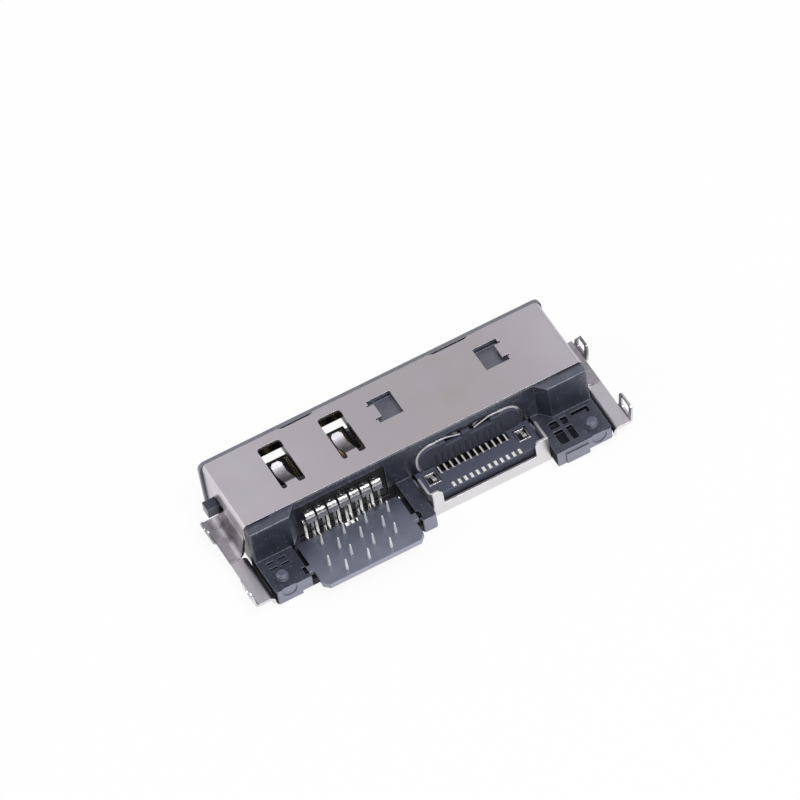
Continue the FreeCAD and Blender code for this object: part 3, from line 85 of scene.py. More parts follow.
class Graph:
    """A node tree that is filled one node at a time."""

    def __init__(self, tree: bpy.types.NodeTree) -> None:
        """Keep the tree to fill."""
        self.tree = tree

    def node(self, kind: str, inputs: dict[str | int, object] | None = None,
             **settings: object) -> Node:
        """Add a node, set its properties, and set or link its inputs.

        Args:
            kind: The node's type, without its ShaderNode prefix.
            inputs: Values or sockets by input name or number.
            **settings: Properties of the node.

        Returns:
            The new node.
        """
        made = self.tree.nodes.new("ShaderNode" + kind)
        for name, value in settings.items():
            setattr(made, name, value)
        for key, value in (inputs or {}).items():
            if isinstance(value, bpy.types.NodeSocket):
                self.tree.links.new(value, made.inputs[key])
            else:
                made.inputs[key].default_value = value
        return made

    def math(self, operation: str, *values: object) -> Socket:
        """Add a Math node and return its result."""
        return self.node("Math", dict(enumerate(values)), operation=operation).outputs[0]

    def ramp(self, value: Socket, low: float, high: float, to_low: float = 0.0,
             to_high: float = 1.0) -> Socket:
        """Stretch a value from one range to another, held at its ends."""
        return self.node("MapRange", {"Value": value, "From Min": low, "From Max": high,
                                      "To Min": to_low, "To Max": to_high}).outputs[0]

    def fade(self, mask: Socket, off: float, on: float) -> Socket:
        """Turn a mask into a value that goes from one number to another."""
        return self.ramp(mask, 0.0, 1.0, off, on)

    def place(self) -> Socket:
        """Place of the shaded point in the object's own coordinates."""
        return self.node("TexCoord").outputs["Object"]

    def coordinate(self, axis: int) -> Socket:
        """Take one of the place's three coordinates."""
        return self.node("SeparateXYZ", {0: self.place()}).outputs[axis]

    def aside(self) -> Socket:
        """Distance from the middle along X."""
        return self.math("ABSOLUTE", self.coordinate(X))

    def along(self, axis: int, low: float, high: float) -> Socket:
        """Mask that rises from one place to another along X, Y or Z.

        Args:
            axis: X, Y or Z.
            low: Where the mask is 0, in metres.
            high: Where it is 1. It may be the smaller of the two.

        Returns:
            The mask.
        """
        return self.ramp(self.coordinate(axis), low, high)

    def above(self, axis: int, edge: float, soft: float = SOFT) -> Socket:
        """Mask of what lies beyond a place along an axis."""
        return self.along(axis, edge, edge + soft)

    def below(self, axis: int, edge: float, soft: float = SOFT) -> Socket:
        """Mask of what lies short of a place along an axis."""
        return self.along(axis, edge, edge - soft)

    def within(self, axis: int, low: float, high: float, soft: float = SOFT) -> Socket:
        """Mask of what lies between two places along an axis."""
        return self.all_of(self.above(axis, low, soft), self.below(axis, high, soft))

    def facing(self, axis: int, low: float, high: float) -> Socket:
        """Mask of the faces whose flat normal has this share of an axis."""
        normal = self.node("NewGeometry").outputs["True Normal"]
        return self.ramp(self.node("SeparateXYZ", {0: normal}).outputs[axis], low, high)

    def all_of(self, *masks: Socket) -> Socket:
        """Multiply masks."""
        made = masks[0]
        for mask in masks[1:]:
            made = self.math("MULTIPLY", made, mask)
        return made

    def either(self, one: object, other: object) -> Socket:
        """Take the greater of two masks or values."""
        return self.math("MAXIMUM", one, other)

    def noise(self, grain: Grain) -> Socket:
        """Lay a noise over the object's own coordinates."""
        return self.node("TexNoise", {
            "Vector": self.place(), "Scale": grain.scale, "Detail": grain.detail,
            "Roughness": grain.roughness,
        }).outputs[0]

    def mix(self, factor: object, one: object, other: object) -> Socket:
        """Mix two colours by a factor."""
        made = self.node("Mix", data_type="RGBA")
        for index, value in ((MIX_FACTOR, factor), (MIX_ONE, one), (MIX_OTHER, other)):
            if isinstance(value, bpy.types.NodeSocket):
                self.tree.links.new(value, made.inputs[index])
            elif index == MIX_FACTOR:
                made.inputs[index].default_value = value
            else:
                made.inputs[index].default_value = (*value[:3], 1.0)
        return made.outputs[MIX_RESULT]


@dataclass(frozen=True)
class SharedEffect:
    """A node group with named inputs and outputs that several finishes use."""

    name: str
    inputs: dict[str, float]
    outputs: tuple[str, ...]

    def group(self) -> bpy.types.NodeTree:
        """Build the group once and hand out the same one later.

        Returns:
            The node group.
        """
        found = bpy.data.node_groups.get(self.name)
        if found:
            return found
        tree = bpy.data.node_groups.new(self.name, "ShaderNodeTree")
        for name, value in self.inputs.items():
            socket = tree.interface.new_socket(name=name, in_out="INPUT",
                                               socket_type="NodeSocketFloat")
            socket.default_value = value
        for name in self.outputs:
            tree.interface.new_socket(name=name, in_out="OUTPUT", socket_type="NodeSocketFloat")
        graph = Graph(tree)
        entry = tree.nodes.new("NodeGroupInput")
        leave = tree.nodes.new("NodeGroupOutput")
        for name, socket in self.effect(graph, entry).items():
            tree.links.new(socket, leave.inputs[name])
        return tree

    def effect(self, graph: Graph, entry: Node) -> dict[str, Socket]:
        """Build the effect's own nodes. Each kind of effect has its own.

        Args:
            graph: The group's tree.
            entry: The group's input node.

        Returns:
            The sockets that feed the group's outputs.
        """
        raise NotImplementedError

    def placed(self, graph: Graph, **values: float) -> Node:
        """Place the group in a material with its own values."""
        made = graph.node("Group")
        made.node_tree = self.group()
        for name, value in values.items():
            made.inputs[name.replace("_", " ").capitalize()].default_value = value
        return made


@dataclass(frozen=True)
class EdgeShine(SharedEffect):
    """Mask of the outer edges, where handling leaves a plate brighter and where a painted
    highlight lies along the rounded edges.
    """

    turned: Span = (0.999, 0.86)

    def effect(self, graph: Graph, entry: Node) -> dict[str, Socket]:
        """Compare the rounded normal with the plain one."""
        rounded = graph.node("Bevel", {"Radius": entry.outputs["Radius"]}, samples=BEVEL_SAMPLES)
        plain = graph.node("NewGeometry")
        turn = graph.node("VectorMath", {0: rounded.outputs[0], 1: plain.outputs["Normal"]},
                          operation="DOT_PRODUCT").outputs["Value"]
        return {"Mask": graph.ramp(turn, *self.turned)}


@dataclass(frozen=True)
class FineGrain(SharedEffect):
    """Height of a rolled or moulded surface's finest grain, drawn out along X by a stretch."""

    detail: float = 4.0
    roughness: float = 0.6

    def effect(self, graph: Graph, entry: Node) -> dict[str, Socket]:
        """Lay a noise over stretched object coordinates."""
        parts = graph.node("SeparateXYZ", {0: graph.place()}).outputs
        drawn = graph.math("DIVIDE", parts[X], entry.outputs["Stretch"])
        spread = graph.node("CombineXYZ", {X: drawn, Y: parts[Y], Z: parts[Z]}).outputs[0]
        noise = graph.node("TexNoise", {"Vector": spread, "Scale": entry.outputs["Scale"],
                                        "Detail": self.detail, "Roughness": self.roughness})
        return {"Height": noise.outputs[0]}


@dataclass(frozen=True)
class Smudge(SharedEffect):
    """Slow cloudy variation of a handled surface, with sparse darker specks."""

    cloud_detail: float = 5.0
    cloud_roughness: float = 0.55
    cloud_ramp: Span = (0.3, 0.7)
    speck_fineness: float = 17.0
    speck_detail: float = 2.0
    speck_ramp: Span = (0.64, 0.72)

    def effect(self, graph: Graph, entry: Node) -> dict[str, Socket]:
        """Layer a broad noise and thresholded specks."""
        place = graph.place()
        broad = graph.node("TexNoise", {
            "Vector": place, "Scale": entry.outputs["Scale"], "Detail": self.cloud_detail,
            "Roughness": self.cloud_roughness,
        }).outputs[0]
        fine = graph.math("MULTIPLY", entry.outputs["Scale"], self.speck_fineness)
        specks = graph.node("TexNoise", {"Vector": place, "Scale": fine,
                                         "Detail": self.speck_detail}).outputs[0]
        return {"Cloud": graph.ramp(broad, *self.cloud_ramp),
                "Specks": graph.ramp(specks, *self.speck_ramp)}


EDGE_SHINE = EdgeShine("edge_shine", {"Radius": 0.05 * MM}, ("Mask",))
FINE_GRAIN = FineGrain("fine_grain", {"Scale": 20000.0, "Stretch": 1.0}, ("Height",))
SMUDGE = Smudge("smudge", {"Scale": 300.0}, ("Cloud", "Specks"))


class Base(Enum):
    """What lies under a finish."""

    METAL = "metal"
    PLASTIC = "plastic"


@dataclass(frozen=True)
class Finish:
    """A surface of one maker's finish, as procedural nodes."""

    name: str
    base: Base
    color: Color
    cloud_color: Color
    edge_color: Color
    roughness: float
    roughness_spread: float
    grain_scale: float
    grain_depth: float
    stretch: float = 1.0
    cloud_scale: float = 260.0
    edge_radius: float = 0.05 * MM
    edge_share: float = 0.8
    specks: float = 0.0
    ior: float = 1.5
    sheen_level: float = 0.5
    sheen_color: Color = (1.0, 1.0, 1.0)

    def tint(self, graph: Graph, color: Socket) -> Socket:
        """Change the colour where this finish has another one. The plain finish keeps it."""
        return color

    def roughen(self, graph: Graph, rough: Socket) -> Socket:
        """Change the roughness where this finish has another one. The plain finish keeps it."""
        return rough

    def metal(self, graph: Graph) -> float | Socket:
        """Say how metallic the surface is. The plain finish is all metal or all plastic."""
        return 1.0 if self.base is Base.METAL else 0.0

    def sheen(self, graph: Graph) -> float | Socket:
        """Say how strongly the surface mirrors at right angles. The plain finish is even."""
        return self.sheen_level

    def wear_and_highlight(self, graph: Graph) -> float | Socket:
        """Say how much the worn edges and their painted highlight show. The plain finish has one
        share everywhere.
        """
        return self.edge_share

    def material(self) -> bpy.types.Material:
        """Build the material once.

        Returns:
            The finish's material.
        """
        found = bpy.data.materials.get(self.name)
        if found:
            return found
        made = bpy.data.materials.new(self.name)
        made.use_nodes = True
        made.node_tree.nodes.clear()
        graph = Graph(made.node_tree)
        edge = EDGE_SHINE.placed(graph, radius=self.edge_radius).outputs["Mask"]
        grain = FINE_GRAIN.placed(graph, scale=self.grain_scale,
                                  stretch=self.stretch).outputs["Height"]
        smudge = SMUDGE.placed(graph, scale=self.cloud_scale)
        cloud = smudge.outputs["Cloud"]
        color = graph.mix(cloud, self.color, self.cloud_color)
        speck = graph.math("MULTIPLY", smudge.outputs["Specks"], self.specks)
        color = self.tint(graph, graph.mix(speck, color, self.edge_color))
        # Painted highlight and rubbing together: the edge colour brightens the outer edges.
        worn = graph.math("MULTIPLY", edge, self.wear_and_highlight(graph))
        color = graph.mix(worn, color, self.edge_color)
        rough = self.roughen(graph, graph.fade(cloud, self.roughness - self.roughness_spread,
                                               self.roughness + self.roughness_spread))
        rounded = graph.node("Bevel", {"Radius": self.edge_radius},
                             samples=BEVEL_SAMPLES).outputs[0]
        normal = graph.node("Bump", {
            "Height": grain, "Distance": self.grain_depth, "Strength": 1.0, "Normal": rounded,
        }).outputs[0]
        shader = graph.node("BsdfPrincipled", {
            "Base Color": color, "Roughness": rough, "Normal": normal,
            "Metallic": self.metal(graph),
            "IOR": self.ior, "Specular IOR Level": self.sheen(graph),
            "Specular Tint": (*self.sheen_color, 1.0),
        })
        output = graph.node("OutputMaterial")
        made.node_tree.links.new(shader.outputs[0], output.inputs[0])
        return made


@dataclass(frozen=True)
class SelectiveGold(Finish):
    """Plate that is gold at the mating end, glossy and with painted shade on the legs, dull tin at
    the solder end, and with a painted glint along the tails' tops.
    """

    gold: Color = (0.82, 0.58, 0.22)
    gold_from: float = 0.0
    gold_soft: float = 0.15 * MM
    tin: Color = (0.92, 0.92, 0.92)
    tin_from: float = -1.9 * MM
    tin_soft: float = 0.1 * MM
    tin_roughness: float = 0.5
    tin_metal: float = 0.35
    head_from: float = 9.0 * MM
    head_soft: float = 0.1 * MM
    head_roughness: float = 0.34
    patch_color: Color = (0.09, 0.09, 0.10)
    patch_grain: Grain = Grain(6500.0, 3.0, 0.7)
    patch_ramp: Span = (0.47, 0.55)
    patch_fade: Span = (-0.3 * MM, -0.4 * MM)
    patch_share: float = 0.0
    # Painted shade on the legs below the heads.
    leg_shade_color: Color = (0.60, 0.59, 0.58)
    leg_fade: Span = (-0.3 * MM, -0.5 * MM)
    # Painted glint in the tin colour: a narrow band along each tail's top, one per pitch.
    glint_top: float = 9.0 * MM
    glint_fade: Span = (-0.95 * MM, -1.05 * MM)
    pitch: float = 0.5 * MM
    glint_stripe: Span = (0.72, 0.96)
    stripe_soft: float = 0.04

    def pale(self, graph: Graph) -> Socket:
        """Mask of the dull tin at the solder end, and of a painted glint: a narrow band along the
        tops of tails above a height.
        """
        tin = graph.below(Y, self.tin_from, self.tin_soft)
        step = graph.math("FRACT", graph.math("DIVIDE", graph.coordinate(X), self.pitch))
        left, right = self.glint_stripe
        glint_stripe = graph.all_of(graph.ramp(step, left, left + self.stripe_soft),
                              graph.ramp(step, right + self.stripe_soft, right))
        top = graph.all_of(graph.above(Z, self.glint_top, SHARP),
                           graph.along(Y, *self.glint_fade), glint_stripe)
        return graph.either(tin, top)

    def metal(self, graph: Graph) -> float | Socket:
        """Let the dull tin and the painted glint scatter some of the light."""
        return graph.fade(self.pale(graph), 1.0, self.tin_metal)

    def tint(self, graph: Graph, color: Socket) -> Socket:
        """Mix in gold ahead of one place along Y, painted shade on the legs, tin behind another
        with a painted glint on the tails' tops, and patches on the heads.
        """
        gold = graph.along(Y, self.gold_from - self.gold_soft, self.gold_from + self.gold_soft)
        shaded_leg = graph.all_of(graph.along(Y, *self.leg_fade),
                           graph.below(Z, self.head_from, self.head_soft))
        color = graph.mix(shaded_leg, graph.mix(gold, color, self.gold), self.leg_shade_color)
        grit = graph.noise(self.patch_grain)
        patch = graph.all_of(graph.above(Z, self.head_from, self.head_soft),
                             graph.along(Y, *self.patch_fade),
                             graph.ramp(grit, *self.patch_ramp, 0.0, self.patch_share))
        return graph.mix(self.pale(graph), graph.mix(patch, color, self.patch_color), self.tin)

    def roughen(self, graph: Graph, rough: Socket) -> Socket:
        """Dull the solder end, the painted glint and the pressed heads."""
        tin = graph.math("MULTIPLY", self.pale(graph), self.tin_roughness)
        head = graph.math("MULTIPLY", graph.above(Z, self.head_from, self.head_soft),
                          self.head_roughness)
        return graph.either(rough, graph.either(tin, head))


@dataclass(frozen=True)
class HandledNickel(Finish):
    """Satin plate with a faint stain on top, scuffed flares at its ends, painted gap shade on its
    rear edge and painted shade on its leaves.
    """

    broad: Grain = Grain(420.0, 6.0, 0.6)
    grit: Grain = Grain(2600.0, 4.0, 0.7)
    left_color: Color = (0.75, 0.715, 0.76)
    left_fade: Span = (-3.0 * MM, -12.0 * MM)
    right_color: Color = (0.71, 0.68, 0.72)
    right_fade: Span = (8.0 * MM, 13.0 * MM)
    stain_color: Color = (0.62, 0.57, 0.54)
    stain_place: Place = (4.5 * MM, 2.4 * MM, 5.0 * MM)
    stain_radius: float = 7.5 * MM
    stain_ramp: Span = (0.3, 0.75)
    scuff_color: Color = (0.22, 0.21, 0.22)
    scuff_from: float = 14.08 * MM
    scuff_low: float = 1.3 * MM
    scuff_low_soft: float = 0.4 * MM
    scuff_high: float = 3.5 * MM
    scuff_high_soft: float = 0.6 * MM
    scuff_ramp: Spread = (0.30, 0.62, 0.45, 1.0)
    foot_share: float = 0.55
    # Painted shade: the dark line of the gap behind the cover, laid on the cut rear edge.
    cut_color: Color = (0.12, 0.12, 0.14)
    cut_from: float = 4.55 * MM
    cut_share: float = 0.25
    leaf_top: float = 4.97 * MM
    leaf_fade: Span = (12.0 * MM, 11.9 * MM)
    leaf_color: Color = (0.50, 0.49, 0.52)
    leaf_ramp: Spread = (0.35, 0.65, 0.25, 0.95)
    leaf_roughness: float = 0.52
    # Painted shade on the leaves where they bend down, darkest near the root.
    painted_slope_shade: Color = (0.13, 0.125, 0.135)
    slope_lean: Span = (0.3, 0.5)
    slope_steep: Span = (0.8, 0.7)
    slope_fade: Span = (3.0 * MM, 1.9 * MM)

    def tint(self, graph: Graph, color: Socket) -> Socket:
        """Lay the stain, the scuffs, the painted gap shade on the cut edge, the leaves and their
        painted shade over the plate's own colour.
        """
        grit = graph.noise(self.grit)
        left = graph.all_of(graph.facing(*TOPSIDE), graph.along(X, *self.left_fade))
        color = graph.mix(left, color, self.left_color)
        color = graph.mix(graph.along(X, *self.right_fade), color, self.right_color)
        color = graph.mix(self.stain(graph), color, self.stain_color)
        color = graph.mix(self.scuff(graph, grit), color, self.scuff_color)
        color = graph.mix(self.cut(graph), color, self.cut_color)
        leaves = self.leaves(graph)
        streaks = graph.all_of(leaves, graph.ramp(grit, *self.leaf_ramp))
        color = graph.mix(streaks, color, self.leaf_color)
        # Painted shade on the leaves where they bend down into the window.
        shaded_slope = graph.all_of(leaves, graph.facing(Y, *self.slope_lean),
                             graph.facing(Y, *self.slope_steep), graph.along(Y, *self.slope_fade))
        return graph.mix(shaded_slope, color, self.painted_slope_shade)

    def stain(self, graph: Graph) -> Socket:
        """Mask of the faint stain between the latch windows."""
        away = graph.node("VectorMath", {0: graph.place(), 1: self.stain_place},
                          operation="DISTANCE").outputs["Value"]
        return graph.all_of(graph.ramp(away, self.stain_radius, 0.0),
                            graph.ramp(graph.noise(self.broad), *self.stain_ramp))

    def scuff(self, graph: Graph, grit: Socket) -> Socket:
        """Mask of the scuffs past the cover's ends, strongest on the flares.

        Args:
            graph: The material's tree.
            grit: Noise that breaks the scuffs up.

        Returns:
            The mask.
        """
        aside = graph.ramp(graph.aside(), self.scuff_from, self.scuff_from + SHARP)
        flare = graph.all_of(graph.above(Z, self.scuff_low, self.scuff_low_soft),
                             graph.below(Z, self.scuff_high, self.scuff_high_soft))
        share = graph.either(flare, self.foot_share)
        return graph.all_of(share, aside, graph.ramp(grit, *self.scuff_ramp))

    def cut(self, graph: Graph) -> Socket:
        """Mask of the cut rear edge, where the shade of the gap behind it is painted as a dark
        line.
        """
        return graph.all_of(graph.facing(*SQUARE_REAR), graph.above(Z, self.cut_from, SHARP))

    def wear_and_highlight(self, graph: Graph) -> float | Socket:
        """Keep the cut rear edge, with its painted gap shade, duller than the other edges."""
        return graph.fade(self.cut(graph), self.edge_share, self.cut_share)

    def leaves(self, graph: Graph) -> Socket:
        """Mask of the bent leaves that lie below the top."""
        return graph.all_of(graph.below(Z, self.leaf_top),
                            graph.ramp(graph.aside(), *self.leaf_fade))

    def roughen(self, graph: Graph, rough: Socket) -> Socket:
        """Dull the bent leaves that lie below the top."""
        return graph.either(rough, graph.math("MULTIPLY", self.leaves(graph),
                                              self.leaf_roughness))


@dataclass(frozen=True)
class RimmedMoulding(Finish):
    """Moulded black: worn rim, painted light on the rear faces, pale seats, painted light on the
    shoulders' upper faces and painted shade in the pockets.
    """

    grit: Grain = Grain(7000.0, 4.0, 0.75)
    smear: Grain = Grain(650.0, 6.0, 0.65)
    smear_ramp: Spread = (0.36, 0.62, 0.62, 1.0)
    rim_color: Color = (0.19, 0.19, 0.215)
    rim_from: float = 6.0 * MM
    rim_facing: Span = (0.3, 0.6)
    rim_ramp: Spread = (0.3, 0.7, 0.45, 1.0)
    seat_color: Color = (0.115, 0.115, 0.135)
    seat_heights: Span = (4.40 * MM, 4.50 * MM)
    seat_soft: float = 0.03 * MM
    seat_fade: Span = (0.5 * MM, 0.6 * MM)
    seat_ramp: Spread = (0.3, 0.7, 0.4, 1.0)
    peg_color: Color = (0.10, 0.105, 0.145)
    peg_low: Span = (1.62 * MM, 1.66 * MM)
    peg_high: Span = (2.4 * MM, 2.3 * MM)
    peg_fade: Span = (-2.0 * MM, -2.1 * MM)
    peg_ramp: Spread = (0.3, 0.6, 0.5, 1.0)
    # Painted light on the shoulders' upper faces, graded across the width.
    painted_shoulder_light: Color = (0.062, 0.064, 0.085)
    shoulder_low: Span = (4.2 * MM, 4.3 * MM)
    shoulder_fade: Span = (-0.75 * MM, -0.85 * MM)
    shoulder_grade: Span = (-30.0 * MM, 12.0 * MM)
    stub_color: Color = (0.16, 0.16, 0.18)
    stub_from: float = -14.10 * MM
    # Painted light on the rear faces, broken up by grit.
    painted_rear_light: Color = (0.24, 0.24, 0.30)
    lit_rear_from: float = -4.0 * MM
    lit_rear_soft: float = 0.1 * MM
    lit_rear_ramp: Spread = (0.25, 0.6, 0.75, 1.0)
    # Painted shade: near black in the pockets, slots, notches and what lies below the shoulders.
    deep_shade_color: Color = (0.002, 0.002, 0.003)
    deep_top: float = 1.56 * MM
    deep_soft: float = 0.03 * MM
    low_to: float = -0.3 * MM
    low_roughness: float = 0.85
    inside_top: float = 4.25 * MM
    inside_from: float = 0.3 * MM
    inside_half: float = 13.2 * MM
    slot_top: float = 4.86 * MM
    slot_soft: float = 0.01 * MM
    slots_to: float = -1.5 * MM
    wall_from: float = -0.95 * MM
    wall_soft: float = 0.1 * MM
    notch_top: Span = (4.24 * MM, 4.20 * MM)
    notch_soft: float = 0.1 * MM
    left_notch: Span = (2.6 * MM, 3.95 * MM)
    right_notch: Span = (4.5 * MM, 6.0 * MM)
    band_low: Span = (4.15 * MM, 4.3 * MM)
    band_left: Span = (-1.0 * MM, 0.0)
    band_right: Span = (8.0 * MM, 7.0 * MM)
    low_tops: float = 3.3 * MM
    low_tops_soft: float = 0.1 * MM
    low_tops_fade: Span = (3.0 * MM, 2.0 * MM)
    recess_top: Span = (3.7 * MM, 3.4 * MM)
    recess_left: Span = (-0.75 * MM, -0.45 * MM)
    recess_right: Span = (9.5 * MM, 9.2 * MM)
    # Gloss lost on these places paints shade on them.
    faces_loss: float = 0.30
    sides_loss: float = 0.50
    tops_loss: float = 0.25
    recess_loss: float = 0.60
    deep_loss: float = 0.60

    def sheen(self, graph: Graph) -> float | Socket:
        """Smear the gloss, and lower it on rear faces, left faces, low tops, the recess and
        pockets, which paints shade on them.
        """
        band = graph.all_of(graph.along(Z, *self.band_low), graph.along(X, *self.band_left),
                            graph.along(X, *self.band_right))
        faces = graph.all_of(graph.facing(*REARWARD),
                             graph.above(Y, self.lit_rear_from, self.lit_rear_soft),
                             graph.math("SUBTRACT", 1.0, band))
        sides = graph.all_of(graph.facing(*LEFTWARD), graph.above(X, self.stub_from))
        tops = graph.all_of(graph.facing(*UPWARD),
                            graph.below(Z, self.low_tops, self.low_tops_soft),
                            graph.along(X, *self.low_tops_fade))
        recess = graph.all_of(self.wall(graph), graph.along(Z, *self.recess_top),
                              graph.along(X, *self.recess_left),
                              graph.along(X, *self.recess_right))
        _, deep, _ = self.masks(graph)
        smear = graph.ramp(graph.noise(self.smear), *self.smear_ramp)
        made = graph.math("MULTIPLY", smear, self.sheen_level)
        for mask, loss in ((faces, self.faces_loss), (sides, self.sides_loss),
                           (tops, self.tops_loss), (recess, self.recess_loss),
                           (deep, self.deep_loss)):
            made = graph.math("MULTIPLY", made, graph.fade(mask, 1.0, 1.0 - loss))
        return made

    def wall(self, graph: Graph) -> Socket:
        """Mask of the case's rear wall."""
        return graph.all_of(graph.facing(*REARWARD),
                            graph.above(Y, self.wall_from, self.wall_soft))

    def notches(self, graph: Graph) -> Socket:
        """Mask of the two notches in the rear wall that the USB-C shell's fingers enter."""
        sides = graph.either(graph.within(X, *self.left_notch, self.notch_soft),
                             graph.within(X, *self.right_notch, self.notch_soft))
        return graph.all_of(self.wall(graph), graph.along(Z, *self.notch_top), sides)

    def masks(self, graph: Graph) -> tuple[Socket, Socket, Socket]:
        """Mask the rear faces that get painted light, and the deep places that get painted shade.

        Args:
            graph: The material's tree.

        Returns:
            The mask of the painted rear light, the mask of what lies deep and gets painted shade,
            and its share below the shoulders.
        """
        lit_rear = graph.all_of(graph.facing(*REARWARD),
                             graph.below(Y, self.lit_rear_from, self.lit_rear_soft))
        low = graph.all_of(graph.below(Z, self.deep_top, self.deep_soft),
                           graph.below(Y, self.low_to))
        cavity = graph.within(Y, self.inside_from, self.rim_from)
        inside = graph.all_of(
            graph.below(Z, self.inside_top), cavity,
            graph.ramp(graph.aside(), self.inside_half, self.inside_half - SOFT))
        slots = graph.all_of(graph.below(Z, self.slot_top, self.slot_soft), cavity,
                             graph.within(X, -self.inside_half, self.slots_to))
        # Painted shade: all that lies deep goes near black and loses gloss.
        deep = graph.either(graph.either(low, self.notches(graph)), graph.either(inside, slots))
        bare = graph.math("SUBTRACT", 1.0, lit_rear)
        return lit_rear, graph.all_of(deep, bare), graph.all_of(low, bare)

    def tint(self, graph: Graph, color: Socket) -> Socket:
        """Mix the other greys in where they belong, with painted light on the rear faces and the
        shoulders' upper faces and painted shade in deep places.
        """
        grit = graph.noise(self.grit)
        lit_rear, deep, _ = self.masks(graph)
        rim = graph.all_of(graph.above(Y, self.rim_from, SHARP),
                           graph.facing(Z, *self.rim_facing), graph.ramp(grit, *self.rim_ramp))
        seat = graph.all_of(graph.within(Z, *self.seat_heights, self.seat_soft),
                            graph.along(Y, *self.seat_fade), graph.ramp(grit, *self.seat_ramp))
        peg = graph.all_of(graph.along(Z, *self.peg_low), graph.along(Z, *self.peg_high),
                           graph.along(Y, *self.peg_fade), graph.ramp(grit, *self.peg_ramp))
        lit_shoulder = graph.all_of(graph.facing(*UPWARD), graph.along(Z, *self.shoulder_low),
                                graph.along(Y, *self.shoulder_fade),
                                graph.along(X, *self.shoulder_grade))
        stub = graph.all_of(graph.below(X, self.stub_from), graph.facing(*NOT_TOPSIDE))
        # Painted light on the rear faces, speckled by grit.
        speckled_rear_light = graph.all_of(lit_rear, graph.ramp(grit, *self.lit_rear_ramp))
        for mask, grey in ((rim, self.rim_color), (seat, self.seat_color),
                           (peg, self.peg_color), (lit_shoulder, self.painted_shoulder_light),
                           (stub, self.stub_color), (speckled_rear_light, self.painted_rear_light),
                           (deep, self.deep_shade_color)):
            color = graph.mix(mask, color, grey)
        return color

    def roughen(self, graph: Graph, rough: Socket) -> Socket:
        """Dull what lies below the shoulders."""
        _, _, low = self.masks(graph)
        return graph.either(rough, graph.math("MULTIPLY", low, self.low_roughness))


@dataclass(frozen=True)
class CloudyPlate(Finish):
    """Moulded plate that is paler towards its rear, with painted light on its rear edge."""

    rear_color: Color = (0.12, 0.132, 0.175)
    rear_fade: Span = (-2.2 * MM, -5.6 * MM)
    cloud: Grain = Grain(500.0, 4.0, 0.6)
    cloud_ramp: Spread = (0.3, 0.7, 0.7, 1.2)
    # Painted light on the plate's rear-facing faces.
    rear_edge_light: Color = (0.34, 0.34, 0.42)

    def tint(self, graph: Graph, color: Socket) -> Socket:
        """Grade the plate along Y and paint light on its rear edge."""
        share = graph.all_of(graph.along(Y, *self.rear_fade),
                             graph.ramp(graph.noise(self.cloud), *self.cloud_ramp))
        color = graph.mix(share, color, self.rear_color)
        return graph.mix(graph.facing(*REARWARD), color, self.rear_edge_light)


@dataclass(frozen=True)
class DimmedShell(Finish):
    """Satin sheet with painted shade on its inner floor and on its cut edge beneath the contacts.
    """

    floor_top: float = 0.26 * MM
    # Painted shade on the inner floor and the cut edge beneath the contacts.
    floor_shade_color: Color = (0.012, 0.012, 0.014)
    step_from: float = -1.3 * MM

    def inner(self, graph: Graph) -> Socket:
        """Mask of the floor's upper face and of the cut edge beneath the contacts, where shade is
        painted.
        """
        floor = graph.all_of(graph.facing(*UPWARD), graph.below(Z, self.floor_top, SHARP))
        step = graph.all_of(graph.facing(*SQUARE_REAR), graph.above(Y, self.step_from))
        return graph.either(floor, step)

    def tint(self, graph: Graph, color: Socket) -> Socket:
        """Paint shade on the inner floor and the cut edge."""
        return graph.mix(self.inner(graph), color, self.floor_shade_color)

    def wear_and_highlight(self, graph: Graph) -> float | Socket:
        """Keep the painted shade free of bright edges."""
        return graph.fade(self.inner(graph), self.edge_share, 0.0)


@dataclass(frozen=True)
class SlottedDeck(Finish):
    """Moulded deck with painted shade on its rear faces, in the slots below its top and in the
    finger notches.
    """

    deep_shade_color: Color = (0.003, 0.003, 0.004)
    deep_top: float = 1.55 * MM
    deep_soft: float = 0.04 * MM
    slots_from: float = -3.3 * MM
    # Painted shade on the rear-facing faces.
    rear_face_shade: Color = (0.038, 0.042, 0.066)
    notch_low: float = 3.2 * MM
    notch_depth: Span = (-0.55 * MM, 0.1 * MM)

    def tint(self, graph: Graph, color: Socket) -> Socket:
        """Paint shade on the upright faces a little, and on the slots and finger notches fully."""
        color = graph.mix(graph.facing(*REARWARD), color, self.rear_face_shade)
        slots = graph.all_of(graph.below(Z, self.deep_top, self.deep_soft),
                             graph.above(Y, self.slots_from))
        notch = graph.all_of(graph.within(Y, *self.notch_depth), graph.above(Z, self.notch_low))
        return graph.mix(graph.either(slots, notch), color, self.deep_shade_color)


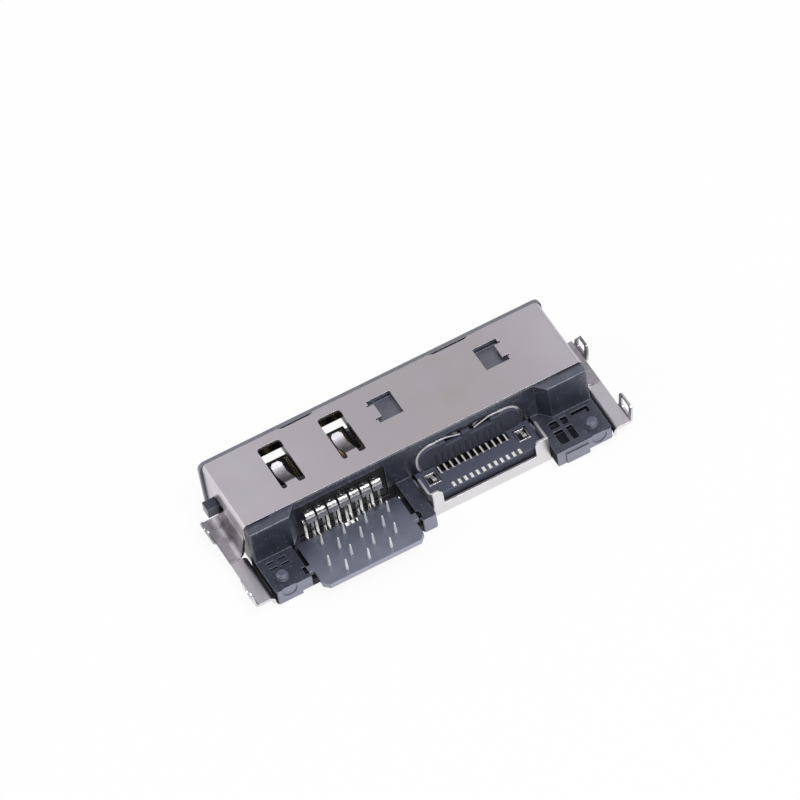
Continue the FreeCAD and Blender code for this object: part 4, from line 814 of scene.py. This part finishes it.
@dataclass(frozen=True)
class PortSheet(Finish):
    """Bright drawn sheet whose cut rear edges and anchor leaves are pale and dull."""

    cut_color: Color = (0.80, 0.79, 0.80)
    leaf_from: float = -1.72 * MM
    leaf_soft: float = 0.04 * MM
    leaf_top: Span = (1.57 * MM, 1.55 * MM)
    pale_metal: float = 0.3
    pale_roughness: float = 0.5
    shade_color: Color = (0.05, 0.05, 0.06)
    shade_side: Span = (8.2 * MM, 8.6 * MM)
    shade_top: Span = (3.5 * MM, 3.1 * MM)
    shade_depth: Span = (-1.5 * MM, 0.0)
    shade_soft: float = 0.1 * MM

    def pale(self, graph: Graph) -> Socket:
        """Mask of the cut edges and of the leaves' lower half."""
        leaf = graph.all_of(graph.below(Y, self.leaf_from, self.leaf_soft),
                            graph.along(Z, *self.leaf_top))
        return graph.either(graph.facing(*SQUARE_REAR), leaf)

    def metal(self, graph: Graph) -> float | Socket:
        """Let the pale places scatter some of the light."""
        return graph.fade(self.pale(graph), 1.0, self.pale_metal)

    def tint(self, graph: Graph, color: Socket) -> Socket:
        """Pale the cut edges and leaves, and shade the low end of the right finger."""
        color = graph.mix(self.pale(graph), color, self.cut_color)
        shade = graph.all_of(graph.along(X, *self.shade_side), graph.along(Z, *self.shade_top),
                             graph.within(Y, *self.shade_depth, self.shade_soft))
        return graph.mix(shade, color, self.shade_color)

    def roughen(self, graph: Graph, rough: Socket) -> Socket:
        """Dull the cut edges and leaves."""
        return graph.either(rough, graph.math("MULTIPLY", self.pale(graph),
                                              self.pale_roughness))


MOULDED_SHEEN = {"ior": 1.8, "sheen_level": 1.0, "sheen_color": (0.80, 0.84, 1.0)}
USBC_PLATING = {
    "base": Base.METAL, "color": (0.80, 0.79, 0.76), "cloud_color": (0.66, 0.65, 0.60),
    "edge_color": (0.95, 0.94, 0.90), "roughness": 0.10, "roughness_spread": 0.04,
    "grain_scale": 12000.0, "grain_depth": 0.002 * MM, "edge_radius": 0.03 * MM,
}
COVER_NICKEL = HandledNickel(
    "satin_cover", Base.METAL, color=(0.67, 0.637, 0.67), cloud_color=(0.63, 0.597, 0.626),
    edge_color=(0.84, 0.82, 0.84), roughness=0.36, roughness_spread=0.05, grain_scale=9000.0,
    grain_depth=0.004 * MM, stretch=6.0, edge_radius=0.03 * MM, edge_share=0.5)
SHELL_NICKEL = DimmedShell(
    "satin_shell", Base.METAL, color=(0.80, 0.775, 0.80), cloud_color=(0.74, 0.715, 0.735),
    edge_color=(0.86, 0.85, 0.86), roughness=0.30, roughness_spread=0.05, grain_scale=9000.0,
    grain_depth=0.004 * MM, stretch=4.0)
LOCK_NICKEL = Finish(
    "bright_lock", Base.METAL, color=(0.84, 0.82, 0.84), cloud_color=(0.72, 0.70, 0.72),
    edge_color=(0.88, 0.87, 0.87), roughness=0.28, roughness_spread=0.06, grain_scale=9000.0,
    grain_depth=0.004 * MM, stretch=2.0)
PORT_STEEL = PortSheet(
    "port_sheet", Base.METAL, color=(0.70, 0.69, 0.70), cloud_color=(0.60, 0.59, 0.60),
    edge_color=(0.88, 0.88, 0.88), roughness=0.18, roughness_spread=0.05, grain_scale=9000.0,
    grain_depth=0.003 * MM)
BLACK_MOULDING = RimmedMoulding(
    "black_nylon", Base.PLASTIC, color=(0.014, 0.016, 0.028), cloud_color=(0.022, 0.024, 0.038),
    edge_color=(0.30, 0.31, 0.36), roughness=0.32, roughness_spread=0.07, grain_scale=16000.0,
    grain_depth=0.016 * MM, specks=0.45, edge_radius=0.06 * MM, **MOULDED_SHEEN)
PLATE_MOULDING = CloudyPlate(
    "navy_nylon", Base.PLASTIC, color=(0.020, 0.025, 0.042), cloud_color=(0.032, 0.038, 0.058),
    edge_color=(0.22, 0.23, 0.28), roughness=0.34, roughness_spread=0.07, grain_scale=16000.0,
    grain_depth=0.010 * MM, specks=0.2, **MOULDED_SHEEN)
DECK_MOULDING = SlottedDeck(
    "deck_nylon", Base.PLASTIC, color=(0.062, 0.068, 0.105), cloud_color=(0.078, 0.084, 0.125),
    edge_color=(0.20, 0.21, 0.26), roughness=0.55, roughness_spread=0.06, grain_scale=16000.0,
    grain_depth=0.012 * MM, specks=0.3)
PORT_MOULDING = Finish(
    "port_nylon", Base.PLASTIC, color=(0.010, 0.010, 0.014), cloud_color=(0.016, 0.016, 0.022),
    edge_color=(0.08, 0.08, 0.10), roughness=0.55, roughness_spread=0.06, grain_scale=16000.0,
    grain_depth=0.012 * MM, specks=0.3, sheen_level=0.3)
DOCK_CONTACT = SelectiveGold(
    "dock_plating", Base.METAL, color=(0.88, 0.87, 0.88), cloud_color=(0.42, 0.41, 0.44),
    edge_color=(0.95, 0.94, 0.93), roughness=0.16, roughness_spread=0.05, grain_scale=9000.0,
    grain_depth=0.007 * MM, edge_radius=0.03 * MM, cloud_scale=2600.0, gold_from=0.5 * MM,
    head_from=3.3 * MM, head_roughness=0.24, patch_share=0.85, tin=(0.95, 0.95, 0.96))
USBC_UPPER = SelectiveGold(
    "usbc_upper_plating", tin=(0.84, 0.82, 0.76), leg_shade_color=(0.20, 0.20, 0.21),
    glint_top=1.55 * MM, **USBC_PLATING)
USBC_LOWER = SelectiveGold(
    "usbc_lower_plating", tin=(0.95, 0.93, 0.86), leg_shade_color=(0.04, 0.04, 0.045),
    **USBC_PLATING)


def dress(node: str, finish: Finish) -> None:
    """Give a node's object its finish.

    Args:
        node: Name of the node.
        finish: Finish for all its slots.
    """
    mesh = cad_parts[node].data
    if not mesh.materials:
        mesh.materials.append(finish.material())
    for index in range(len(mesh.materials)):
        mesh.materials[index] = finish.material()
    LOG.info("dressed %s in %s", node, finish.name)


def stand(name: str, data: bpy.types.ID) -> bpy.types.Object:
    """Stand an object in the scene.

    Args:
        name: The object's name.
        data: Its mesh, camera or light.

    Returns:
        The new object.
    """
    made = bpy.data.objects.new(name, data)
    bpy.context.scene.collection.objects.link(made)
    return made


def modelled(name: str, shape: bmesh.types.BMesh, finish: Finish) -> bpy.types.Object:
    """Turn a finished shape into an object and let go of the shape.

    Args:
        name: The object's name.
        shape: The shape, in metres.
        finish: Its one finish.

    Returns:
        The new object.
    """
    mesh = bpy.data.meshes.new(name)
    shape.to_mesh(mesh)
    shape.free()
    mesh.materials.clear()
    mesh.materials.append(finish.material())
    LOG.info("modelled %s", name)
    return stand(name, mesh)


@dataclass
class DressedParts:
    """Nodes that keep their own shape and get a finish each."""

    finishes: dict[str, Finish]

    def build(self) -> None:
        """Dress every node."""
        for node, finish in self.finishes.items():
            dress(node, finish)


@dataclass
class SheetWork(DressedParts):
    """The stamped cover, the bottom shell and the board locks."""

    finishes: dict[str, Finish] = field(default_factory=lambda: {
        "top_cover": COVER_NICKEL, "bottom_shell": SHELL_NICKEL,
        "left_board_lock": LOCK_NICKEL, "right_board_lock": LOCK_NICKEL,
    })


@dataclass
class Mouldings(DressedParts):
    """The housing and the two port bodies."""

    finishes: dict[str, Finish] = field(default_factory=lambda: {
        "housing": BLACK_MOULDING, "dock_insulator": PORT_MOULDING,
        "usbc_insulator": DECK_MOULDING,
    })


@dataclass
class TailPlate:
    """The docking port's tail plate, drawn with the open gap that stands beside it."""

    left_margin: float = -10.3 * MM
    right_margin: float = -2.7 * MM
    gap: float = 0.27 * MM
    merge: float = 0.0005 * MM

    def build(self) -> None:
        """Take the plate's own shape, merge it, and set its two side margins in."""
        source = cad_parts["dock_tail_plate"]
        shape = bmesh.new()
        shape.from_mesh(source.data)
        bmesh.ops.remove_doubles(shape, verts=shape.verts, dist=self.merge)
        left = [point for point in shape.verts if point.co.x < self.left_margin]
        right = [point for point in shape.verts if point.co.x > self.right_margin]
        bmesh.ops.translate(shape, verts=left, vec=(self.gap, 0.0, 0.0))
        bmesh.ops.translate(shape, verts=right, vec=(-self.gap, 0.0, 0.0))
        plate = modelled("tail_plate", shape, PLATE_MOULDING)
        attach(plate, ROOT)
        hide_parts("dock_tail_plate")


@dataclass
class PlateLedges:
    """The dark ledges that show in the gap on both sides of the tail plate."""

    left: Span = (-11.02 * MM, -10.35 * MM)
    right: Span = (-2.62 * MM, -1.88 * MM)
    depth: Span = (-4.88 * MM, -1.72 * MM)
    height: Span = (0.45 * MM, 1.14 * MM)
    lip: float = 0.12 * MM
    groove: float = 0.10 * MM
    edge: float = 0.05 * MM
    edge_segments: int = 2
    edge_profile: float = 0.5
    upward: float = 0.9
    sharp_angle: float = 1.0

    def ledge(self, name: str, width: Span) -> None:
        """Build one ledge with bevelled edges and a groove along its top.

        Args:
            name: The piece's name.
            width: Its lowest and highest X.
        """
        sides = (width, self.depth, self.height)
        shape = bmesh.new()
        bmesh.ops.create_cube(shape, size=1.0)
        bmesh.ops.scale(shape, verts=shape.verts, vec=[high - low for low, high in sides])
        bmesh.ops.translate(shape, verts=shape.verts,
                            vec=[(low + high) / 2 for low, high in sides])
        upper = [face for face in shape.faces if face.normal.z > self.upward]
        inset = bmesh.ops.inset_region(shape, faces=upper, thickness=self.lip, depth=0.0)
        shape.normal_update()
        floor = [face for face in upper if face.is_valid and face not in inset["faces"]]
        bmesh.ops.translate(shape, verts=list({point for face in floor for point in face.verts}),
                            vec=(0.0, 0.0, -self.groove))
        sharp = [edge for edge in shape.edges if edge.calc_face_angle(0.0) > self.sharp_angle]
        bmesh.ops.bevel(shape, geom=sharp, offset=self.edge, offset_type="OFFSET",
                        segments=self.edge_segments, profile=self.edge_profile, material=-1,
                        affect="EDGES", clamp_overlap=True)
        bmesh.ops.recalc_face_normals(shape, faces=shape.faces)
        piece = modelled(name, shape, PORT_MOULDING)
        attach(piece, ROOT)

    def build(self) -> None:
        """Build both ledges."""
        self.ledge("left_plate_ledge", self.left)
        self.ledge("right_plate_ledge", self.right)


@dataclass
class DockPort:
    """The docking port's contacts."""

    count: int = 7

    def build(self) -> None:
        """Dress both rows of contacts."""
        for number in range(1, self.count + 1):
            for row in ("upper", "lower"):
                dress("dock_%s_contact_%d" % (row, number), DOCK_CONTACT)


@dataclass
class UsbcPort:
    """The USB-C port's metal."""

    count: int = 12

    def build(self) -> None:
        """Dress the shell, the plates and both rows of contacts."""
        for node in ("usbc_shell", "usbc_midplate", "usbc_ground_sleeve"):
            dress(node, PORT_STEEL)
        for number in range(1, self.count + 1):
            for row, finish in (("upper", USBC_UPPER), ("lower", USBC_LOWER)):
                dress("usbc_%s_contact_%d" % (row, number), finish)


@dataclass(frozen=True)
class Softbox:
    """A square softbox that points at the socket: lengths in metres, power in watts."""

    name: str
    place: Place
    width: float
    power: float

    def hang(self) -> None:
        """Hang the softbox in its place."""
        data = bpy.data.lights.new(self.name, "AREA")
        data.size = self.width
        data.energy = self.power
        away = Vector(self.place)
        turn = away.to_track_quat("Z", "Y").to_matrix().to_4x4()
        stand(self.name, data).matrix_world = Matrix.Translation(away) @ turn


@dataclass
class Studio:
    """White table, soft light and the camera at the photograph's angle."""

    right: Place = (0.873, -0.461, -0.121)
    up: Place = (0.436, 0.651, 0.621)
    frame_width: float = 58.6 * MM
    aim_right: float = -1.2 * MM
    aim_up: float = 5.82 * MM
    distance: float = 0.7
    sensor: float = 36.0
    sight: Span = (0.01, 10.0)
    floor_drop: float = 0.01 * MM
    floor_half: float = 1.5
    floor_shade_color: Color = (0.9, 0.9, 0.9)
    floor_glow: float = 0.92
    tent_color: Color = (0.98, 0.97, 1.0)
    tent_power: float = 0.56
    lamps: tuple[Softbox, ...] = (
        Softbox("overhead", (0.10, -0.20, 0.60), 0.32, 1.9),
        Softbox("side", (-0.70, 0.25, 0.40), 0.35, 1.2),
    )

    def camera(self) -> None:
        """Stand the camera square to the photograph's own axes."""
        right = Vector(self.right).normalized()
        back = right.cross(Vector(self.up)).normalized()
        up = back.cross(right)
        aim = right * self.aim_right + up * self.aim_up
        data = bpy.data.cameras.new("camera")
        data.sensor_width = self.sensor
        data.lens = self.sensor * self.distance / self.frame_width
        data.clip_start, data.clip_end = self.sight
        camera = stand("camera", data)
        turn = Matrix((right, up, back)).transposed().to_4x4()
        camera.matrix_world = Matrix.Translation(aim + back * self.distance) @ turn
        bpy.context.scene.camera = camera

    def floor(self) -> None:
        """Lay a white table that keeps the socket's shadow."""
        mesh = bpy.data.meshes.new("table")
        half = self.floor_half
        rim = [(side * half, end * half, -self.floor_drop)
               for side, end in ((-1, -1), (1, -1), (1, 1), (-1, 1))]
        mesh.from_pydata(rim, [], [(0, 1, 2, 3)])
        table = stand("table", mesh)
        material = bpy.data.materials.new("table_white")
        material.use_nodes = True
        material.node_tree.nodes.clear()
        graph = Graph(material.node_tree)
        path = graph.node("LightPath")
        seen = graph.either(path.outputs["Is Camera Ray"], path.outputs["Is Glossy Ray"])
        seen = graph.either(seen, path.outputs["Is Transmission Ray"])
        diffuse = graph.node("BsdfDiffuse", {"Color": (*self.floor_shade_color, 1.0)})
        glow = graph.node("Emission", {"Color": WHITE, "Strength": 1.0})
        blend = graph.node("MixShader", {0: graph.math("MULTIPLY", seen, self.floor_glow),
                                         1: diffuse.outputs[0], 2: glow.outputs[0]})
        output = graph.node("OutputMaterial")
        material.node_tree.links.new(blend.outputs[0], output.inputs[0])
        mesh.materials.append(material)

    def world(self) -> None:
        """Wrap the socket in an even grey tent, white to the camera."""
        world = bpy.data.worlds.new("tent")
        bpy.context.scene.world = world
        world.use_nodes = True
        world.node_tree.nodes.clear()
        graph = Graph(world.node_tree)
        path = graph.node("LightPath")
        tent = graph.node("Background", {"Color": (*self.tent_color, 1.0),
                                         "Strength": self.tent_power})
        white = graph.node("Background", {"Color": WHITE, "Strength": 1.0})
        blend = graph.node("MixShader", {0: path.outputs["Is Camera Ray"], 1: tent.outputs[0],
                                         2: white.outputs[0]})
        output = graph.node("OutputWorld")
        world.node_tree.links.new(blend.outputs[0], output.inputs[0])

    def build(self) -> None:
        """Set up the whole studio."""
        self.camera()
        self.floor()
        self.world()
        for lamp in self.lamps:
            lamp.hang()
        bpy.context.scene.view_settings.view_transform = "Standard"


def main() -> None:
    """Build the looks in order."""
    logging.basicConfig(level=logging.INFO, format="%(message)s")
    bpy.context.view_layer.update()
    for assembly in (SheetWork(), Mouldings(), TailPlate(), PlateLedges(), DockPort(),
                     UsbcPort(), Studio()):
        assembly.build()
        LOG.info("built %s", type(assembly).__name__)


if __name__ == "__main__":
    main()
